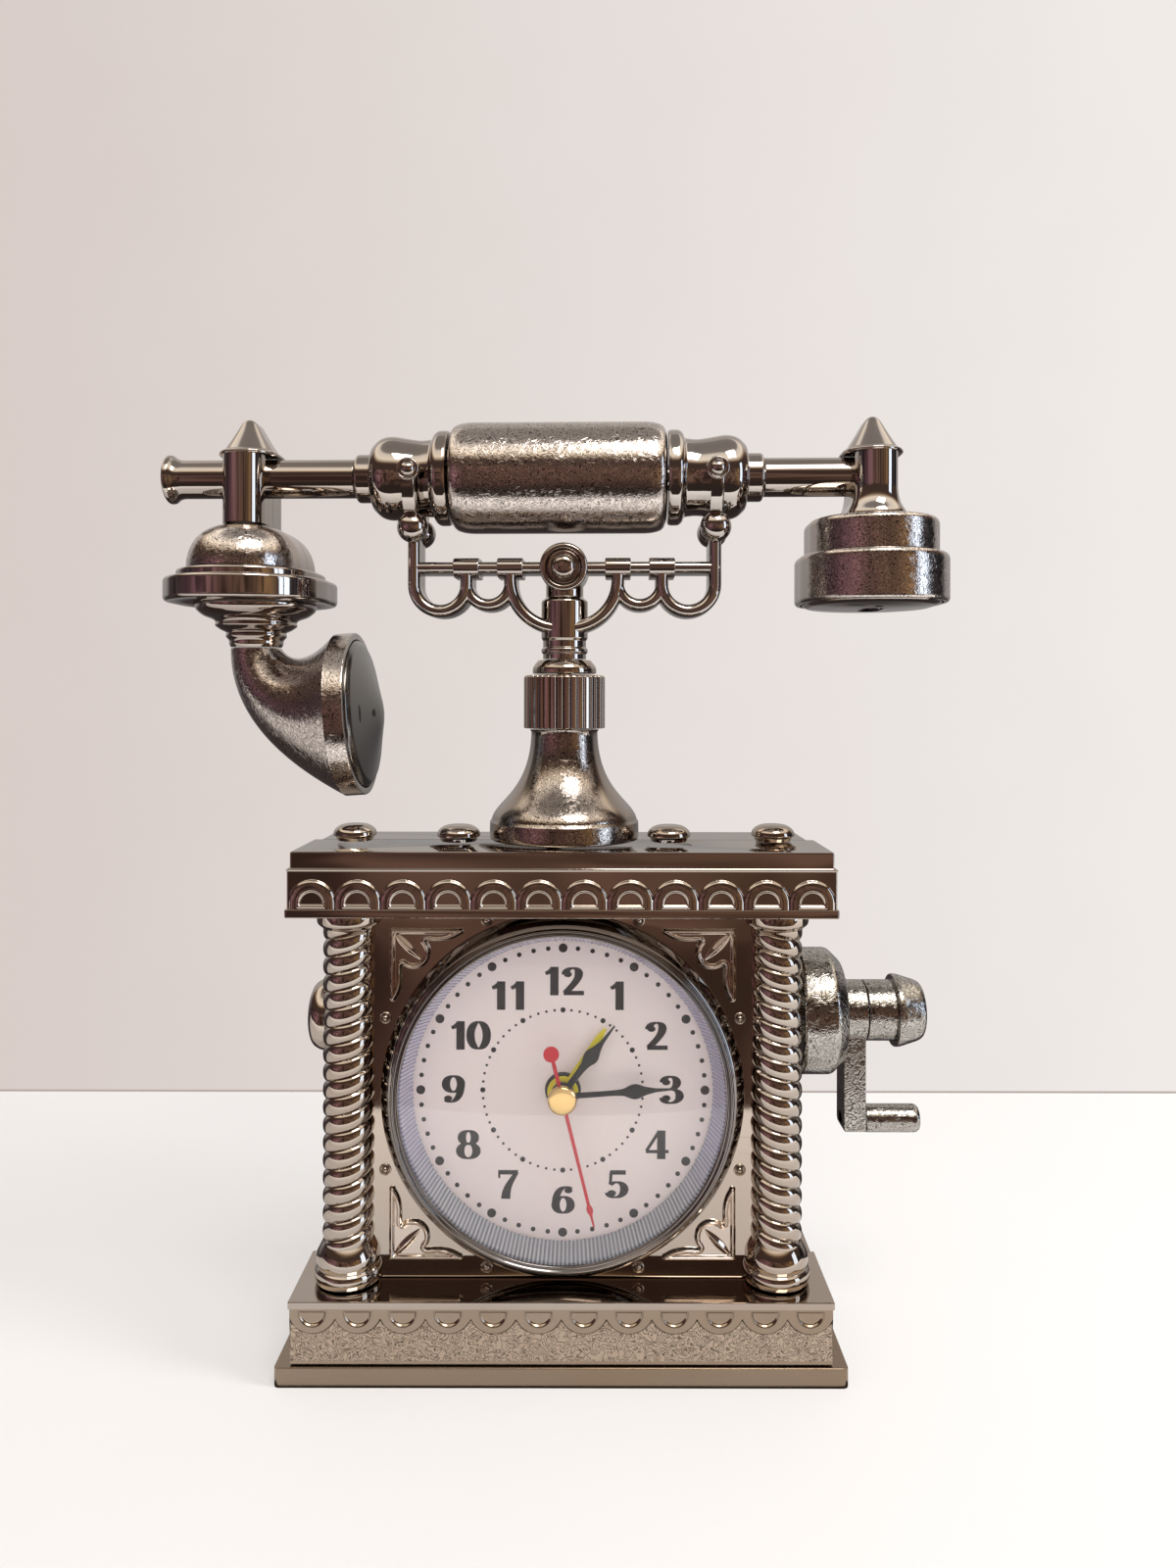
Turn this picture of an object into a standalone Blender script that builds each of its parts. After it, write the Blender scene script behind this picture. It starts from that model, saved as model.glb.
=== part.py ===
"""Table clock in the form of an old upright telephone, as an assembly of its separate pieces.

Metres, +Z up. X runs along the handset, the front faces -Y, and the case rests on Z = 0.
"""
import math

import bmesh
import bpy
from mathutils import Matrix, Vector

# Fits
GAP = 0.0003
BITE = 0.0006
PLATE_WALL = 0.002

# Base plate
BASE_PROUD = 0.0035
BASE_DEPTH = 0.0408
BASE_THICK = 0.0045
BASE_CORNER = 0.0009

# Parting plane of the two case shells, and of everything above them
SEAM_Y = 0.003

# Plinth
PLINTH_OVERHANG = 0.0083
PLINTH_FRONT = 0.0195
PLINTH_REAR = 0.0200
PLINTH_HEIGHT = 0.0143
LIP_HEIGHT = 0.0017
LIP_PROUD = 0.0010
LIP_SIDE = 0.0004
SCALLOP_COUNT = 12
SCALLOP_RADIUS = 0.0055
SCALLOP_DROP = 0.0056
SCALLOP_PROUD = 0.0006
SCALLOP_POCKET = 0.00295

# Middle of the case
PANEL_FRONT = 0.0098
PANEL_MARGIN = 0.0013
REAR_FACE = 0.0190
COLUMN_BACKING = 0.00175

# Cornice
BAND_SIDE = 0.0012
BAND_FRONT = 0.0207
BAND_HEIGHT = 0.0019
FASCIA_SIDE = 0.0009
FASCIA_FRONT = 0.0198
FASCIA_HEIGHT = 0.0089
SLAB_SIDE = 0.0003
SLAB_FRONT = 0.0195
SLAB_HEIGHT = 0.0038
CORNICE_REAR = 0.0194
REAR_INSET = 0.0018
ARCH_COUNT = 12
ARCH_OVERLAP = 0.00005
ARCH_LEG = 0.0014
ARCH_PROUD = 0.0007
ARCH_POCKET = 0.0031
POCKET_LEG = 0.0010

# Corner ornaments and rivet heads on the front panel
ORNAMENT_INSET = 0.0093
ORNAMENT_RISE = 0.0042
ORNAMENT_LEG = 0.0171
ORNAMENT_CUSP = (0.0088, 0.0029)
ORNAMENT_BULGE = (0.0140, 0.0037)
LOBE_CENTRE = 0.0056
LOBE_RADIUS = 0.0041
ORNAMENT_PROUD = 0.0007
RIVET_RADIUS = 0.0014
RIVET_HEIGHT = 0.0009
RIVET_NEAR = 0.0175
RIVET_MARGIN = 0.0025

# Columns
COLUMN_GAP = 0.0016
COLUMN_INSET = 0.0027
COLUMN_Y = -0.0100
SHAFT_RADIUS = 0.00585
SHAFT_RELIEF = 0.00075
ROPE_STARTS = 2
ROPE_PITCH = 0.00405
COLUMN_SIDES = 6
CAPITAL_RADIUS = 0.0073
CAPITAL_HEIGHT = 0.0033
FOOT_RADIUS = 0.00775
FOOT_HEIGHT = 0.0089

# Studs on the cornice
STUD_RADIUS = 0.0052
STUD_HEIGHT = 0.0040
STUD_INSET = 0.0106
INNER_STUD_X = 0.0250
STUD_FORWARD = 0.0030
INNER_STUD_FORWARD = 0.0017

# Clock insert, measured forwards from Y = 0
BEZEL_RADIUS = 0.04185
BEZEL_SLOPE = 0.00395
BEZEL_WALL = 0.0010
BEZEL_FRONT = 0.0155
BEZEL_LIP = 0.0007
LENS_THICK = 0.0008
LENS_CROWN = 0.0020
FLUTE_WIDTH = 0.0031
FLUTE_LIP = 0.0009
DIAL_FACE = 0.00695
DIAL_THICK = 0.0005
DIAL_BORE = 0.0042
TRAY_WALL = 0.0012
TRAY_DEPTH = 0.0163
COVER_THICK = 0.0012
OPENING_MARGIN = 0.0012

# Hands: arbors, hubs and blades
ARBOR_RADIUS = 0.00045
TUBE_WALL = 0.0005
HAND_THICK = 0.0005
HAND_STEP = 0.0011
ALARM_LENGTH = 0.0178
ALARM_HALF = 0.00085
ALARM_HUB = 0.0036
ALARM_ANGLE = 34.0
HOUR_LENGTH = 0.0199
HOUR_HALF = 0.00075
HOUR_SPADE = 0.0017
HOUR_SPADE_AT = 0.0108
HOUR_HUB = 0.0027
HOUR_ANGLE = 37.3
MINUTE_LENGTH = 0.0260
MINUTE_HALF = 0.0007
MINUTE_SPADE = 0.00175
MINUTE_SPADE_AT = 0.0168
MINUTE_HUB = 0.0022
MINUTE_ANGLE = 86.0
SECOND_LENGTH = 0.0300
SECOND_HALF = 0.00045
SECOND_BULGE = 0.00075
SECOND_BULGE_AT = 0.0260
SECOND_HUB = 0.0016
SECOND_ANGLE = 166.0
COUNTER_REACH = 0.0105
COUNTER_RADIUS = 0.0018
HAND_CAP_RADIUS = 0.00335
HAND_CAP_HEIGHT = 0.0016

# Wheels of the movement and their setting knobs
WHEEL_THICK = 0.0010
ALARM_WHEEL = 0.0090
HOUR_WHEEL = 0.0080
CENTRE_WHEEL = 0.0096
CENTRE_PINION = 0.0020
MOTION_WHEEL = 0.0090
MOTION_PINION = 0.0030
PIVOT_RADIUS = 0.0008
SECOND_WHEEL = 0.0070
SETTING_PINION = 0.0032
ALARM_PINION = 0.0045
KNOB_ARBOR = 0.0010
KNOB_RADIUS = 0.0046
KNOB_HEIGHT = 0.0030
SWITCH_TRAVEL = 0.0040
SWITCH_WIDTH = 0.0040
SWITCH_INSET = 0.0055
BATTERY_RADIUS = 0.0070
BATTERY_LENGTH = 0.0500
BATTERY_MARGIN = 0.0008
BATTERY_ROOM = 0.0018
DOOR_HEIGHT = 0.0150
COIL_RADIUS = 0.0034
COIL_LENGTH = 0.0180
BUZZER_RADIUS = 0.0060
BUZZER_THICK = 0.0030

# Stem, turned about a vertical axis in the seam plane
BELL_HEIGHT = 0.0264
BELL_FOOT = 0.0180
BELL_FOOT_HEIGHT = 0.0050
BELL_WAIST = 0.0081
KNURL_RADIUS = 0.0098
KNURL_HEIGHT = 0.0128
KNURL_RIDGES = 36
COLLAR_RADIUS = 0.0077
COLLAR_HEIGHT = 0.0033
BOLT_RADIUS = 0.0019
BOLT_HEAD = 0.0036
BOLT_REACH = 0.0100
NECK_RADIUS = 0.0052
NECK_HEIGHT = 0.0048
BLOCK_RADIUS = 0.0056
BLOCK_HEIGHT = 0.0096

# Cradle
BOSS_RADIUS = 0.0058
BOSS_DROP = 0.0074
BOSS_DEPTH = 0.0060
BALL_STUD_RADIUS = 0.0031
BAR_WIDTH = 0.0031
CRADLE_DEPTH = 0.0100
UPRIGHT_X = 0.0360
SWIVEL_TURN = -1.7
LOOP_OUTER = 0.0063
LOOP_INNER = 0.00525
COLLAR_WIDTH = 0.0061
COLLAR_TALL = 0.0048
SWEEP_RADIUS = 0.0115
PRONG_BALL = 0.0037
PRONG_BALL_Y = 0.0056
PRONG_BALL_Z = 0.0094
PRONG_WIDTH = 0.0031
PRONG_THICK = 0.0022
PRONG_BUTTON = 0.0027

# Handset, turned about a level axis in the seam plane
HANDSET_RISE = 0.0220
HANDSET_SHIFT = -0.0014
GRIP_HALF = 0.0259
GRIP_RADIUS = 0.0133
END_RING = 0.0114
END_WAIST = 0.0090
END_BULGE = 0.0102
END_LENGTH = 0.0188
END_NECK = 0.0058
END_NECK_LENGTH = 0.0040
ROD_RADIUS = 0.00465
ROD_REACH = 0.0955
ROD_FLARE = 0.0059
SPIGOT_RADIUS = 0.0030
SPIGOT_END = 0.0120
POST_X = 0.0749
POST_RADIUS = 0.0050
POST_STRETCH = 0.0060
POST_RISE = 0.0045
FINIAL_RADIUS = 0.0072
FINIAL_STRETCH = 0.0020
FINIAL_HEIGHT = 0.0092

# Transmitter, hung below the left post
DOME_TOP = 0.0121
DOME_RADIUS = 0.0136
DOME_STRETCH = 0.0050
DOME_HEIGHT = 0.0105
DISC_STEP = 0.0166
DISC_STEP_HEIGHT = 0.0020
DISC_RADIUS = 0.0195
DISC_STRETCH = 0.0030
DISC_HEIGHT = 0.0056
BOWL_RADIUS = 0.0145
BOWL_NECK = 0.0060
BOWL_HEIGHT = 0.0102
HORN_MOUTH = 0.0197
HORN_BAND = 0.0046
HORN_TILT = 4.0
NECK_SHIFT = 0.0010
HORN_REACH = 0.0214
HORN_FALL = 0.0161
HORN_WALL = 0.0016
MOUTH_CROWN = 0.0052

# Receiver, hung below the right post
FLARE_TOP = 0.0063
FLARE_RADIUS = 0.0072
FLARE_HEIGHT = 0.0043
UPPER_CUP = 0.0152
UPPER_CUP_HEIGHT = 0.0080
LOWER_CUP = 0.0176
CUP_STRETCH = 0.0030
LOWER_CUP_HEIGHT = 0.0114
CUP_WALL = 0.0016
CUP_FLOOR_CROWN = 0.0014

# Crank and the boss on the other side
SIDE_AXIS_RISE = 0.0159
SIDE_BOSS_RISE = 0.0147
SIDE_AXIS_Y = 0.0035
SIDE_NECK = 0.0070
SIDE_NECK_LENGTH = 0.0035
SIDE_SPIGOT = 0.0030
BOSS_DISC = 0.0085
BOSS_REACH = 0.0051
HUB_RADIUS = 0.0149
HUB_LENGTH = 0.0110
HUB_CHAMFER = 0.0031
CRANK_DRUM = 0.0072
ARM_THICK = 0.0052
ARM_WIDTH = 0.0083
ARM_DROP = 0.0262
DRUM_LENGTH = 0.0068
KNOB_BASE = 0.0086
KNOB_TIP = 0.0068
CRANK_KNOB_LENGTH = 0.0070
PEG_RADIUS = 0.0033
PEG_LENGTH = 0.0132
PEG_PIN = 0.0017

# Screws under the base
SCREW_INSET = 0.0063
SCREW_Y = 0.0110
SCREW_SHANK = 0.0014
SCREW_HEAD = 0.0028
SCREW_HEAD_HEIGHT = 0.0018
SCREW_BOSS = 0.0032

# Widths that follow from the clock insert between the columns
COLUMN_X = BEZEL_RADIUS + COLUMN_GAP + SHAFT_RADIUS
CASE_HALF = COLUMN_X + COLUMN_INSET
PANEL_CAVITY_HALF = COLUMN_X - FOOT_RADIUS - GAP - COLUMN_BACKING
PLINTH_HALF = CASE_HALF + PLINTH_OVERHANG
BASE_WIDTH = 2 * (PLINTH_HALF + BASE_PROUD)
SCALLOP_PITCH = 2 * PLINTH_HALF / SCALLOP_COUNT
BAND_HALF = PLINTH_HALF + BAND_SIDE
FASCIA_HALF = PLINTH_HALF + FASCIA_SIDE
SLAB_HALF = PLINTH_HALF + SLAB_SIDE
ARCH_PITCH = 2 * SLAB_HALF / ARCH_COUNT
ARCH_RADIUS = ARCH_PITCH / 2 + ARCH_OVERLAP
BEZEL_BARREL = BEZEL_RADIUS - BEZEL_SLOPE
FLUTE_INNER = BEZEL_BARREL - FLUTE_WIDTH
FLUTE_FRONT = BEZEL_BARREL - FLUTE_LIP
TRAY_HALF = BATTERY_LENGTH / 2 + BATTERY_ROOM + TRAY_WALL
BATTERY_DROP = TRAY_HALF - TRAY_WALL - BATTERY_MARGIN - BATTERY_RADIUS
SWITCH_Z = TRAY_HALF - SWITCH_INSET
DOOR_HALF = BATTERY_LENGTH / 2 + 2 * GAP
REAR_OPENING = TRAY_HALF + OPENING_MARGIN
OUTER_STUD_X = SLAB_HALF - STUD_INSET
SCREW_X = PLINTH_HALF - SCREW_INSET
ORNAMENT_X = COLUMN_X - ORNAMENT_INSET
PANEL_HEIGHT = 2 * BEZEL_RADIUS + PANEL_MARGIN
ORNAMENT_Z = PANEL_HEIGHT / 2 - ORNAMENT_RISE
RIVETS = ((RIVET_NEAR, PANEL_HEIGHT / 2 - RIVET_MARGIN), (ORNAMENT_X + GAP * 3, RIVET_NEAR))

# Heights that follow from the pieces stacked on each other
PLINTH_BOTTOM = BASE_THICK + GAP
PLINTH_TOP = PLINTH_BOTTOM + PLINTH_HEIGHT
DIAL_Z = PLINTH_TOP + PANEL_HEIGHT / 2
SIDE_AXIS_Z = DIAL_Z + SIDE_AXIS_RISE
SIDE_BOSS_Z = DIAL_Z + SIDE_BOSS_RISE
CORNICE_BOTTOM = PLINTH_TOP + PANEL_HEIGHT
FASCIA_BOTTOM = CORNICE_BOTTOM + BAND_HEIGHT
SLAB_BOTTOM = FASCIA_BOTTOM + FASCIA_HEIGHT
CORNICE_TOP = SLAB_BOTTOM + SLAB_HEIGHT
BELL_BOTTOM = CORNICE_TOP + GAP
KNURL_BOTTOM = BELL_BOTTOM + BELL_HEIGHT + GAP
COLLAR_BOTTOM = KNURL_BOTTOM + KNURL_HEIGHT + GAP
NECK_BOTTOM = COLLAR_BOTTOM + COLLAR_HEIGHT + GAP
BLOCK_BOTTOM = NECK_BOTTOM + NECK_HEIGHT
BLOCK_TOP = BLOCK_BOTTOM + BLOCK_HEIGHT
BOSS_Z = BLOCK_TOP + BOSS_DROP
HANDSET_Z = BOSS_Z + HANDSET_RISE
BEZEL_SEAT = PANEL_FRONT + GAP
TRAY_FRONT = DIAL_FACE - DIAL_THICK - GAP
TRAY_BACK = TRAY_FRONT - TRAY_DEPTH
COVER_FRONT = TRAY_BACK - GAP
COVER_BACK = COVER_FRONT - COVER_THICK


def material(name, colour, metallic, roughness, transmission=0.0):
    """Plain surface with one colour."""
    made = bpy.data.materials.new(name)
    made.use_nodes = True
    shader = made.node_tree.nodes["Principled BSDF"]
    shader.inputs["Base Color"].default_value = (*colour, 1.0)
    shader.inputs["Metallic"].default_value = metallic
    shader.inputs["Roughness"].default_value = roughness
    shader.inputs["Transmission Weight"].default_value = transmission
    made.diffuse_color = (*colour, 1.0)
    return made


def turned(body, profile, steps, stretch=0.0):
    """Profile of (radius, height) points spun about Z, its front and rear halves drawn apart by stretch.

    A profile that leaves the axis is a ring.
    """
    points = [body.verts.new((radius, 0.0, height)) for radius, height in profile]
    edges = [body.edges.new(pair) for pair in zip(points, points[1:])]
    if profile[0][0] > 0.0 and profile[-1][0] > 0.0:
        edges.append(body.edges.new((points[-1], points[0])))
    bmesh.ops.spin(body, geom=points + edges, axis=(0, 0, 1), cent=(0, 0, 0),
                   angle=math.tau, steps=steps, use_merge=True)
    bmesh.ops.remove_doubles(body, verts=body.verts, dist=2e-6)
    for spot in body.verts:
        if abs(spot.co.y) > 2e-6:
            spot.co.y += math.copysign(stretch, spot.co.y)


def prism(body, outline, start, end, axis="Y"):
    """Flat outline carried along an axis, from start to end."""
    order = {"X": (2, 0, 1), "Y": (0, 2, 1), "Z": (0, 1, 2)}[axis]
    corners = []
    for first, second in outline:
        spot = (first, second, start)
        corners.append(body.verts.new([spot[index] for index in order]))
    face = body.faces.new(corners)
    grown = bmesh.ops.extrude_face_region(body, geom=[face])
    moved = [item for item in grown["geom"] if isinstance(item, bmesh.types.BMVert)]
    travel = (0.0, 0.0, end - start)
    bmesh.ops.translate(body, verts=moved, vec=[travel[index] for index in order])


def block(body, low, high):
    """Box between two corners."""
    outline = [(low[0], low[1]), (high[0], low[1]), (high[0], high[1]), (low[0], high[1])]
    prism(body, outline, low[2], high[2], axis="Z")


def loft(body, rings):
    """Closed skin through rings that have the same number of points."""
    loops = [[body.verts.new(point) for point in ring] for ring in rings]
    count = len(loops[0])
    for lower, upper in zip(loops, loops[1:]):
        for index in range(count):
            after = (index + 1) % count
            body.faces.new((lower[index], lower[after], upper[after], upper[index]))
    body.faces.new(loops[0])
    body.faces.new(loops[-1])


def level_box(half, front, rear, height):
    """Rectangular ring at one height, for a stack of steps."""
    return [(-half, -front, height), (half, -front, height),
            (half, rear, height), (-half, rear, height)]


def arc(centre, radius, start, end, steps):
    """Points on a circle from one angle to another, in degrees."""
    points = []
    for index in range(steps + 1):
        angle = math.radians(start + (end - start) * index / steps)
        points.append((centre[0] + radius * math.cos(angle), centre[1] + radius * math.sin(angle)))
    return points


def curve_through(controls, steps):
    """Points of a Bezier curve with any number of control points."""
    points = []
    for index in range(steps + 1):
        rest = [Vector(control) for control in controls]
        share = index / steps
        while len(rest) > 1:
            rest = [a.lerp(b, share) for a, b in zip(rest, rest[1:])]
        points.append(rest[0])
    return points


def finish(name, body, skin, location=(0.0, 0.0, 0.0), rotation=(0.0, 0.0, 0.0), parent=None):
    """Object from a mesh in the making, with its surface and its place."""
    bmesh.ops.recalc_face_normals(body, faces=body.faces)
    mesh = bpy.data.meshes.new(name)
    body.to_mesh(mesh)
    body.free()
    mesh.shade_smooth()
    mesh.set_sharp_from_angle(angle=math.radians(35.0))
    if skin:
        mesh.materials.append(skin)
    made = bpy.data.objects.new(name, mesh)
    bpy.context.collection.objects.link(made)
    made.location = location
    made.rotation_euler = rotation
    made.parent = parent
    return made


def tool(name, body, location=(0.0, 0.0, 0.0), rotation=(0.0, 0.0, 0.0), parent=None):
    """Body that only cuts or joins another one."""
    made = finish(name, body, None, location, rotation, parent)
    made.hide_render = True
    made.display_type = "WIRE"
    return made


def combine(target, other, operation):
    """Live Boolean between two bodies."""
    step = target.modifiers.new(other.name, "BOOLEAN")
    step.operation = operation
    step.object = other
    step.solver = "EXACT"


def cut(target, other):
    combine(target, other, "DIFFERENCE")


def add(target, other):
    combine(target, other, "UNION")


DARK_CHROME = material("dark_chrome", (0.47, 0.42, 0.36), 1.0, 0.1)
GRAINED_CHROME = material("grained_chrome", (0.46, 0.41, 0.35), 1.0, 0.25)
WHITE_CARD = material("white_card", (0.80, 0.74, 0.75), 0.0, 0.55)
BLACK_METAL = material("black_metal", (0.02, 0.02, 0.022), 0.3, 0.4)
YELLOW_METAL = material("yellow_metal", (0.80, 0.72, 0.03), 0.0, 0.4)
RED_METAL = material("red_metal", (0.75, 0.02, 0.04), 0.0, 0.4)
GOLD = material("gold", (0.83, 0.62, 0.25), 1.0, 0.12)
CLEAR = material("clear", (1.0, 1.0, 1.0), 0.0, 0.03, 1.0)
LAVENDER = material("lavender", (0.78, 0.76, 0.92), 0.0, 0.12, 0.6)
BLACK_PLASTIC = material("black_plastic", (0.02, 0.02, 0.02), 0.0, 0.45)
WHITE_PLASTIC = material("white_plastic", (0.80, 0.80, 0.76), 0.0, 0.4)
STEEL = material("steel", (0.55, 0.55, 0.54), 1.0, 0.3)
BRASS = material("brass", (0.72, 0.55, 0.25), 1.0, 0.3)
COPPER = material("copper", (0.72, 0.35, 0.18), 1.0, 0.35)
BATTERY_WRAP = material("battery_wrap", (0.05, 0.22, 0.12), 0.0, 0.35)

ALONG_X = (0.0, math.pi / 2, 0.0)
TOWARDS_FRONT = (math.pi / 2, 0.0, 0.0)
DIAL_PLACE = (0.0, 0.0, DIAL_Z)


def make_base_plate():
    """Flat plate with a small edge radius and two countersunk screw holes."""
    body = bmesh.new()
    half = BASE_WIDTH / 2
    deep = BASE_DEPTH / 2
    rings = [level_box(half, deep, deep, 0.0), level_box(half, deep, deep, BASE_THICK)]
    loft(body, rings)
    plate = finish("base_plate", body, DARK_CHROME)
    edge = plate.modifiers.new("edge", "BEVEL")
    edge.width = BASE_CORNER
    edge.segments = 1
    holes = bmesh.new()
    for side in (-1, 1):
        one = bmesh.new()
        shank = SCREW_SHANK + GAP
        seat = SCREW_HEAD_HEIGHT + GAP * 2
        profile = [(0.0, BASE_THICK + BITE), (shank, BASE_THICK + BITE), (shank, seat),
                   (SCREW_HEAD + GAP, seat), (SCREW_HEAD + GAP, -BITE), (0.0, -BITE)]
        turned(one, profile, 16)
        bmesh.ops.translate(one, verts=one.verts, vec=(side * SCREW_X, -side * SCREW_Y, 0.0))
        append(holes, one)
    cut(plate, tool("base_holes", holes))


def append(body, other):
    """Copy of one mesh in the making into another, which frees it."""
    spare = bpy.data.meshes.new("spare")
    bmesh.ops.recalc_face_normals(other, faces=other.faces)
    other.to_mesh(spare)
    other.free()
    body.from_mesh(spare)
    bpy.data.meshes.remove(spare)


def moved(other, vector=(0.0, 0.0, 0.0), rotation=None):
    """The mesh in the making, turned and then moved."""
    if rotation:
        bmesh.ops.rotate(other, verts=other.verts, matrix=rotation, cent=(0.0, 0.0, 0.0))
    bmesh.ops.translate(other, verts=other.verts, vec=vector)
    return other


def make_base_screws():
    """Two pan-head screws that hold the base plate to the shells."""
    for name, side in (("base_screw_left", -1), ("base_screw_right", 1)):
        body = bmesh.new()
        reach = PLINTH_TOP - PLATE_WALL - 2 * BITE
        profile = [(0.0, reach), (SCREW_SHANK, reach), (SCREW_SHANK, SCREW_HEAD_HEIGHT + GAP),
                   (SCREW_HEAD, SCREW_HEAD_HEIGHT + GAP), (SCREW_HEAD, GAP * 2), (0.0, GAP * 2)]
        turned(body, profile, 12)
        finish(name, body, STEEL, (side * SCREW_X, -side * SCREW_Y, 0.0))


def column_profile(grow):
    """Outer radius and height of foot, shaft and capital, grown for a recess."""
    low = PLINTH_TOP + GAP
    high = CORNICE_BOTTOM - GAP
    foot = low + FOOT_HEIGHT
    shaft = SHAFT_RADIUS + grow
    return [(FOOT_RADIUS * 0.93 + grow, low), (FOOT_RADIUS + grow, low + FOOT_HEIGHT * 0.2),
            (FOOT_RADIUS + grow, low + FOOT_HEIGHT * 0.42),
            (FOOT_RADIUS * 0.88 + grow, low + FOOT_HEIGHT * 0.72), (shaft, foot),
            (shaft, high - CAPITAL_HEIGHT), (CAPITAL_RADIUS * 0.93 + grow, high - CAPITAL_HEIGHT * 0.8),
            (CAPITAL_RADIUS + grow, high - CAPITAL_HEIGHT * 0.5), (CAPITAL_RADIUS + grow, high)]


def make_columns():
    """Columns with a round foot and capital, and a shaft whose edges lean with its rope ribs."""
    outline = column_profile(0.0)
    turn = ROPE_STARTS * ROPE_PITCH
    start = outline[4][1] - BITE
    end = outline[5][1] + BITE
    count = round((end - start) / (turn / COLUMN_SIDES))
    for name, side in (("column_left", -1), ("column_right", 1)):
        place = (side * COLUMN_X, COLUMN_Y, 0.0)
        body = bmesh.new()
        rings = []
        for index in range(count + 1):
            height = start + (end - start) * index / count
            phase = -side * math.tau * (height - start) / turn
            ring = []
            for spot in range(COLUMN_SIDES):
                angle = math.tau * spot / COLUMN_SIDES
                reach = SHAFT_RADIUS - SHAFT_RELIEF * (0.5 - 0.5 * math.cos(ROPE_STARTS * angle))
                ring.append((reach * math.cos(angle + phase), reach * math.sin(angle + phase), height))
            rings.append(ring)
        loft(body, rings)
        column = finish(name, body, DARK_CHROME, place)
        ends = bmesh.new()
        foot = bmesh.new()
        turned(foot, [(0.0, outline[0][1])] + outline[:5] + [(0.0, outline[4][1])], 16)
        append(ends, foot)
        head = bmesh.new()
        turned(head, [(0.0, outline[5][1])] + outline[5:] + [(0.0, outline[8][1])], 16)
        append(ends, head)
        add(column, tool(name + "_ends", ends, place))


def arcade_outline():
    """Upper edge of the row of arches on the cornice, closed along the band below."""
    spring = FASCIA_BOTTOM + ARCH_LEG
    lean = math.degrees(math.acos(ARCH_PITCH / 2 / ARCH_RADIUS))
    end = ARCH_COUNT * ARCH_PITCH / 2
    points = [(-end, FASCIA_BOTTOM - BITE)]
    for index in range(ARCH_COUNT):
        centre = (index - (ARCH_COUNT - 1) / 2) * ARCH_PITCH
        stretch = arc((centre, spring), ARCH_RADIUS, 180.0 - lean, lean, 7)
        points += stretch if index == ARCH_COUNT - 1 else stretch[:-1]
    points.append((end, FASCIA_BOTTOM - BITE))
    return points


def apron_outline():
    """Smooth upper part of the plinth front, scalloped along its lower edge."""
    top = PLINTH_TOP - LIP_HEIGHT
    centre_z = top - SCALLOP_DROP + SCALLOP_RADIUS
    lean = math.degrees(math.acos(SCALLOP_PITCH / 2 / SCALLOP_RADIUS))
    end = SCALLOP_COUNT * SCALLOP_PITCH / 2
    points = [(-end, top + BITE)]
    for index in range(SCALLOP_COUNT):
        centre = (index - (SCALLOP_COUNT - 1) / 2) * SCALLOP_PITCH
        stretch = arc((centre, centre_z), SCALLOP_RADIUS, 180.0 + lean, 360.0 - lean, 6)
        points += stretch if index == SCALLOP_COUNT - 1 else stretch[:-1]
    points.append((end, top + BITE))
    return points


def ornament_outline():
    """Corner ornament with its corner at the origin: two ogee legs and a round lobe."""
    leg = (ORNAMENT_LEG, 0.0)
    lower = [point[:2] for point in curve_through([leg, ORNAMENT_BULGE, ORNAMENT_CUSP], 4)]
    offset_x = ORNAMENT_CUSP[0] - LOBE_CENTRE
    offset_y = ORNAMENT_CUSP[1] - LOBE_CENTRE
    start = math.degrees(math.atan2(offset_y, offset_x))
    lobe = arc((LOBE_CENTRE, LOBE_CENTRE), LOBE_RADIUS, start, 90.0 - start, 7)
    upper = [(y, x) for x, y in reversed(lower)]
    return [(0.0, 0.0)] + lower[:-1] + lobe + upper[1:]


def ornament_groove():
    """Leaf-shaped groove from the ornament's corner into its lobe."""
    inner = ORNAMENT_CUSP[1] * 0.35
    side = ORNAMENT_CUSP[1] * 1.05
    far = LOBE_CENTRE * 1.15
    return [(inner, inner), (LOBE_CENTRE * 0.8, side), (far, far), (side, LOBE_CENTRE * 0.8)]


def corners():
    """Place and mirroring of the four corner ornaments."""
    return [(side, rise) for side in (-1, 1) for rise in (-1, 1)]


def shell_tools():
    """Cutters and raised work that the front shell and the rear shell share."""
    bore = bmesh.new()
    hole = bmesh.new()
    turned(hole, [(0.0, CORNICE_TOP + BITE), (BOLT_RADIUS + GAP, CORNICE_TOP + BITE),
                  (BOLT_RADIUS + GAP, CORNICE_TOP - PLATE_WALL - BITE),
                  (0.0, CORNICE_TOP - PLATE_WALL - BITE)], 16)
    append(bore, moved(hole, (0.0, SEAM_Y, 0.0)))
    for side in (-1, 1):
        spigot = bmesh.new()
        low = CASE_HALF - PLATE_WALL - BITE
        high = CASE_HALF + BITE
        turned(spigot, [(0.0, high), (SIDE_SPIGOT + GAP, high), (SIDE_SPIGOT + GAP, low), (0.0, low)], 16)
        turn = Matrix.Rotation(side * math.pi / 2, 3, "Y")
        level = SIDE_AXIS_Z if side > 0 else SIDE_BOSS_Z
        append(bore, moved(spigot, (0.0, SIDE_AXIS_Y, level), turn))
    return tool("shared_bores", bore)


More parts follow.
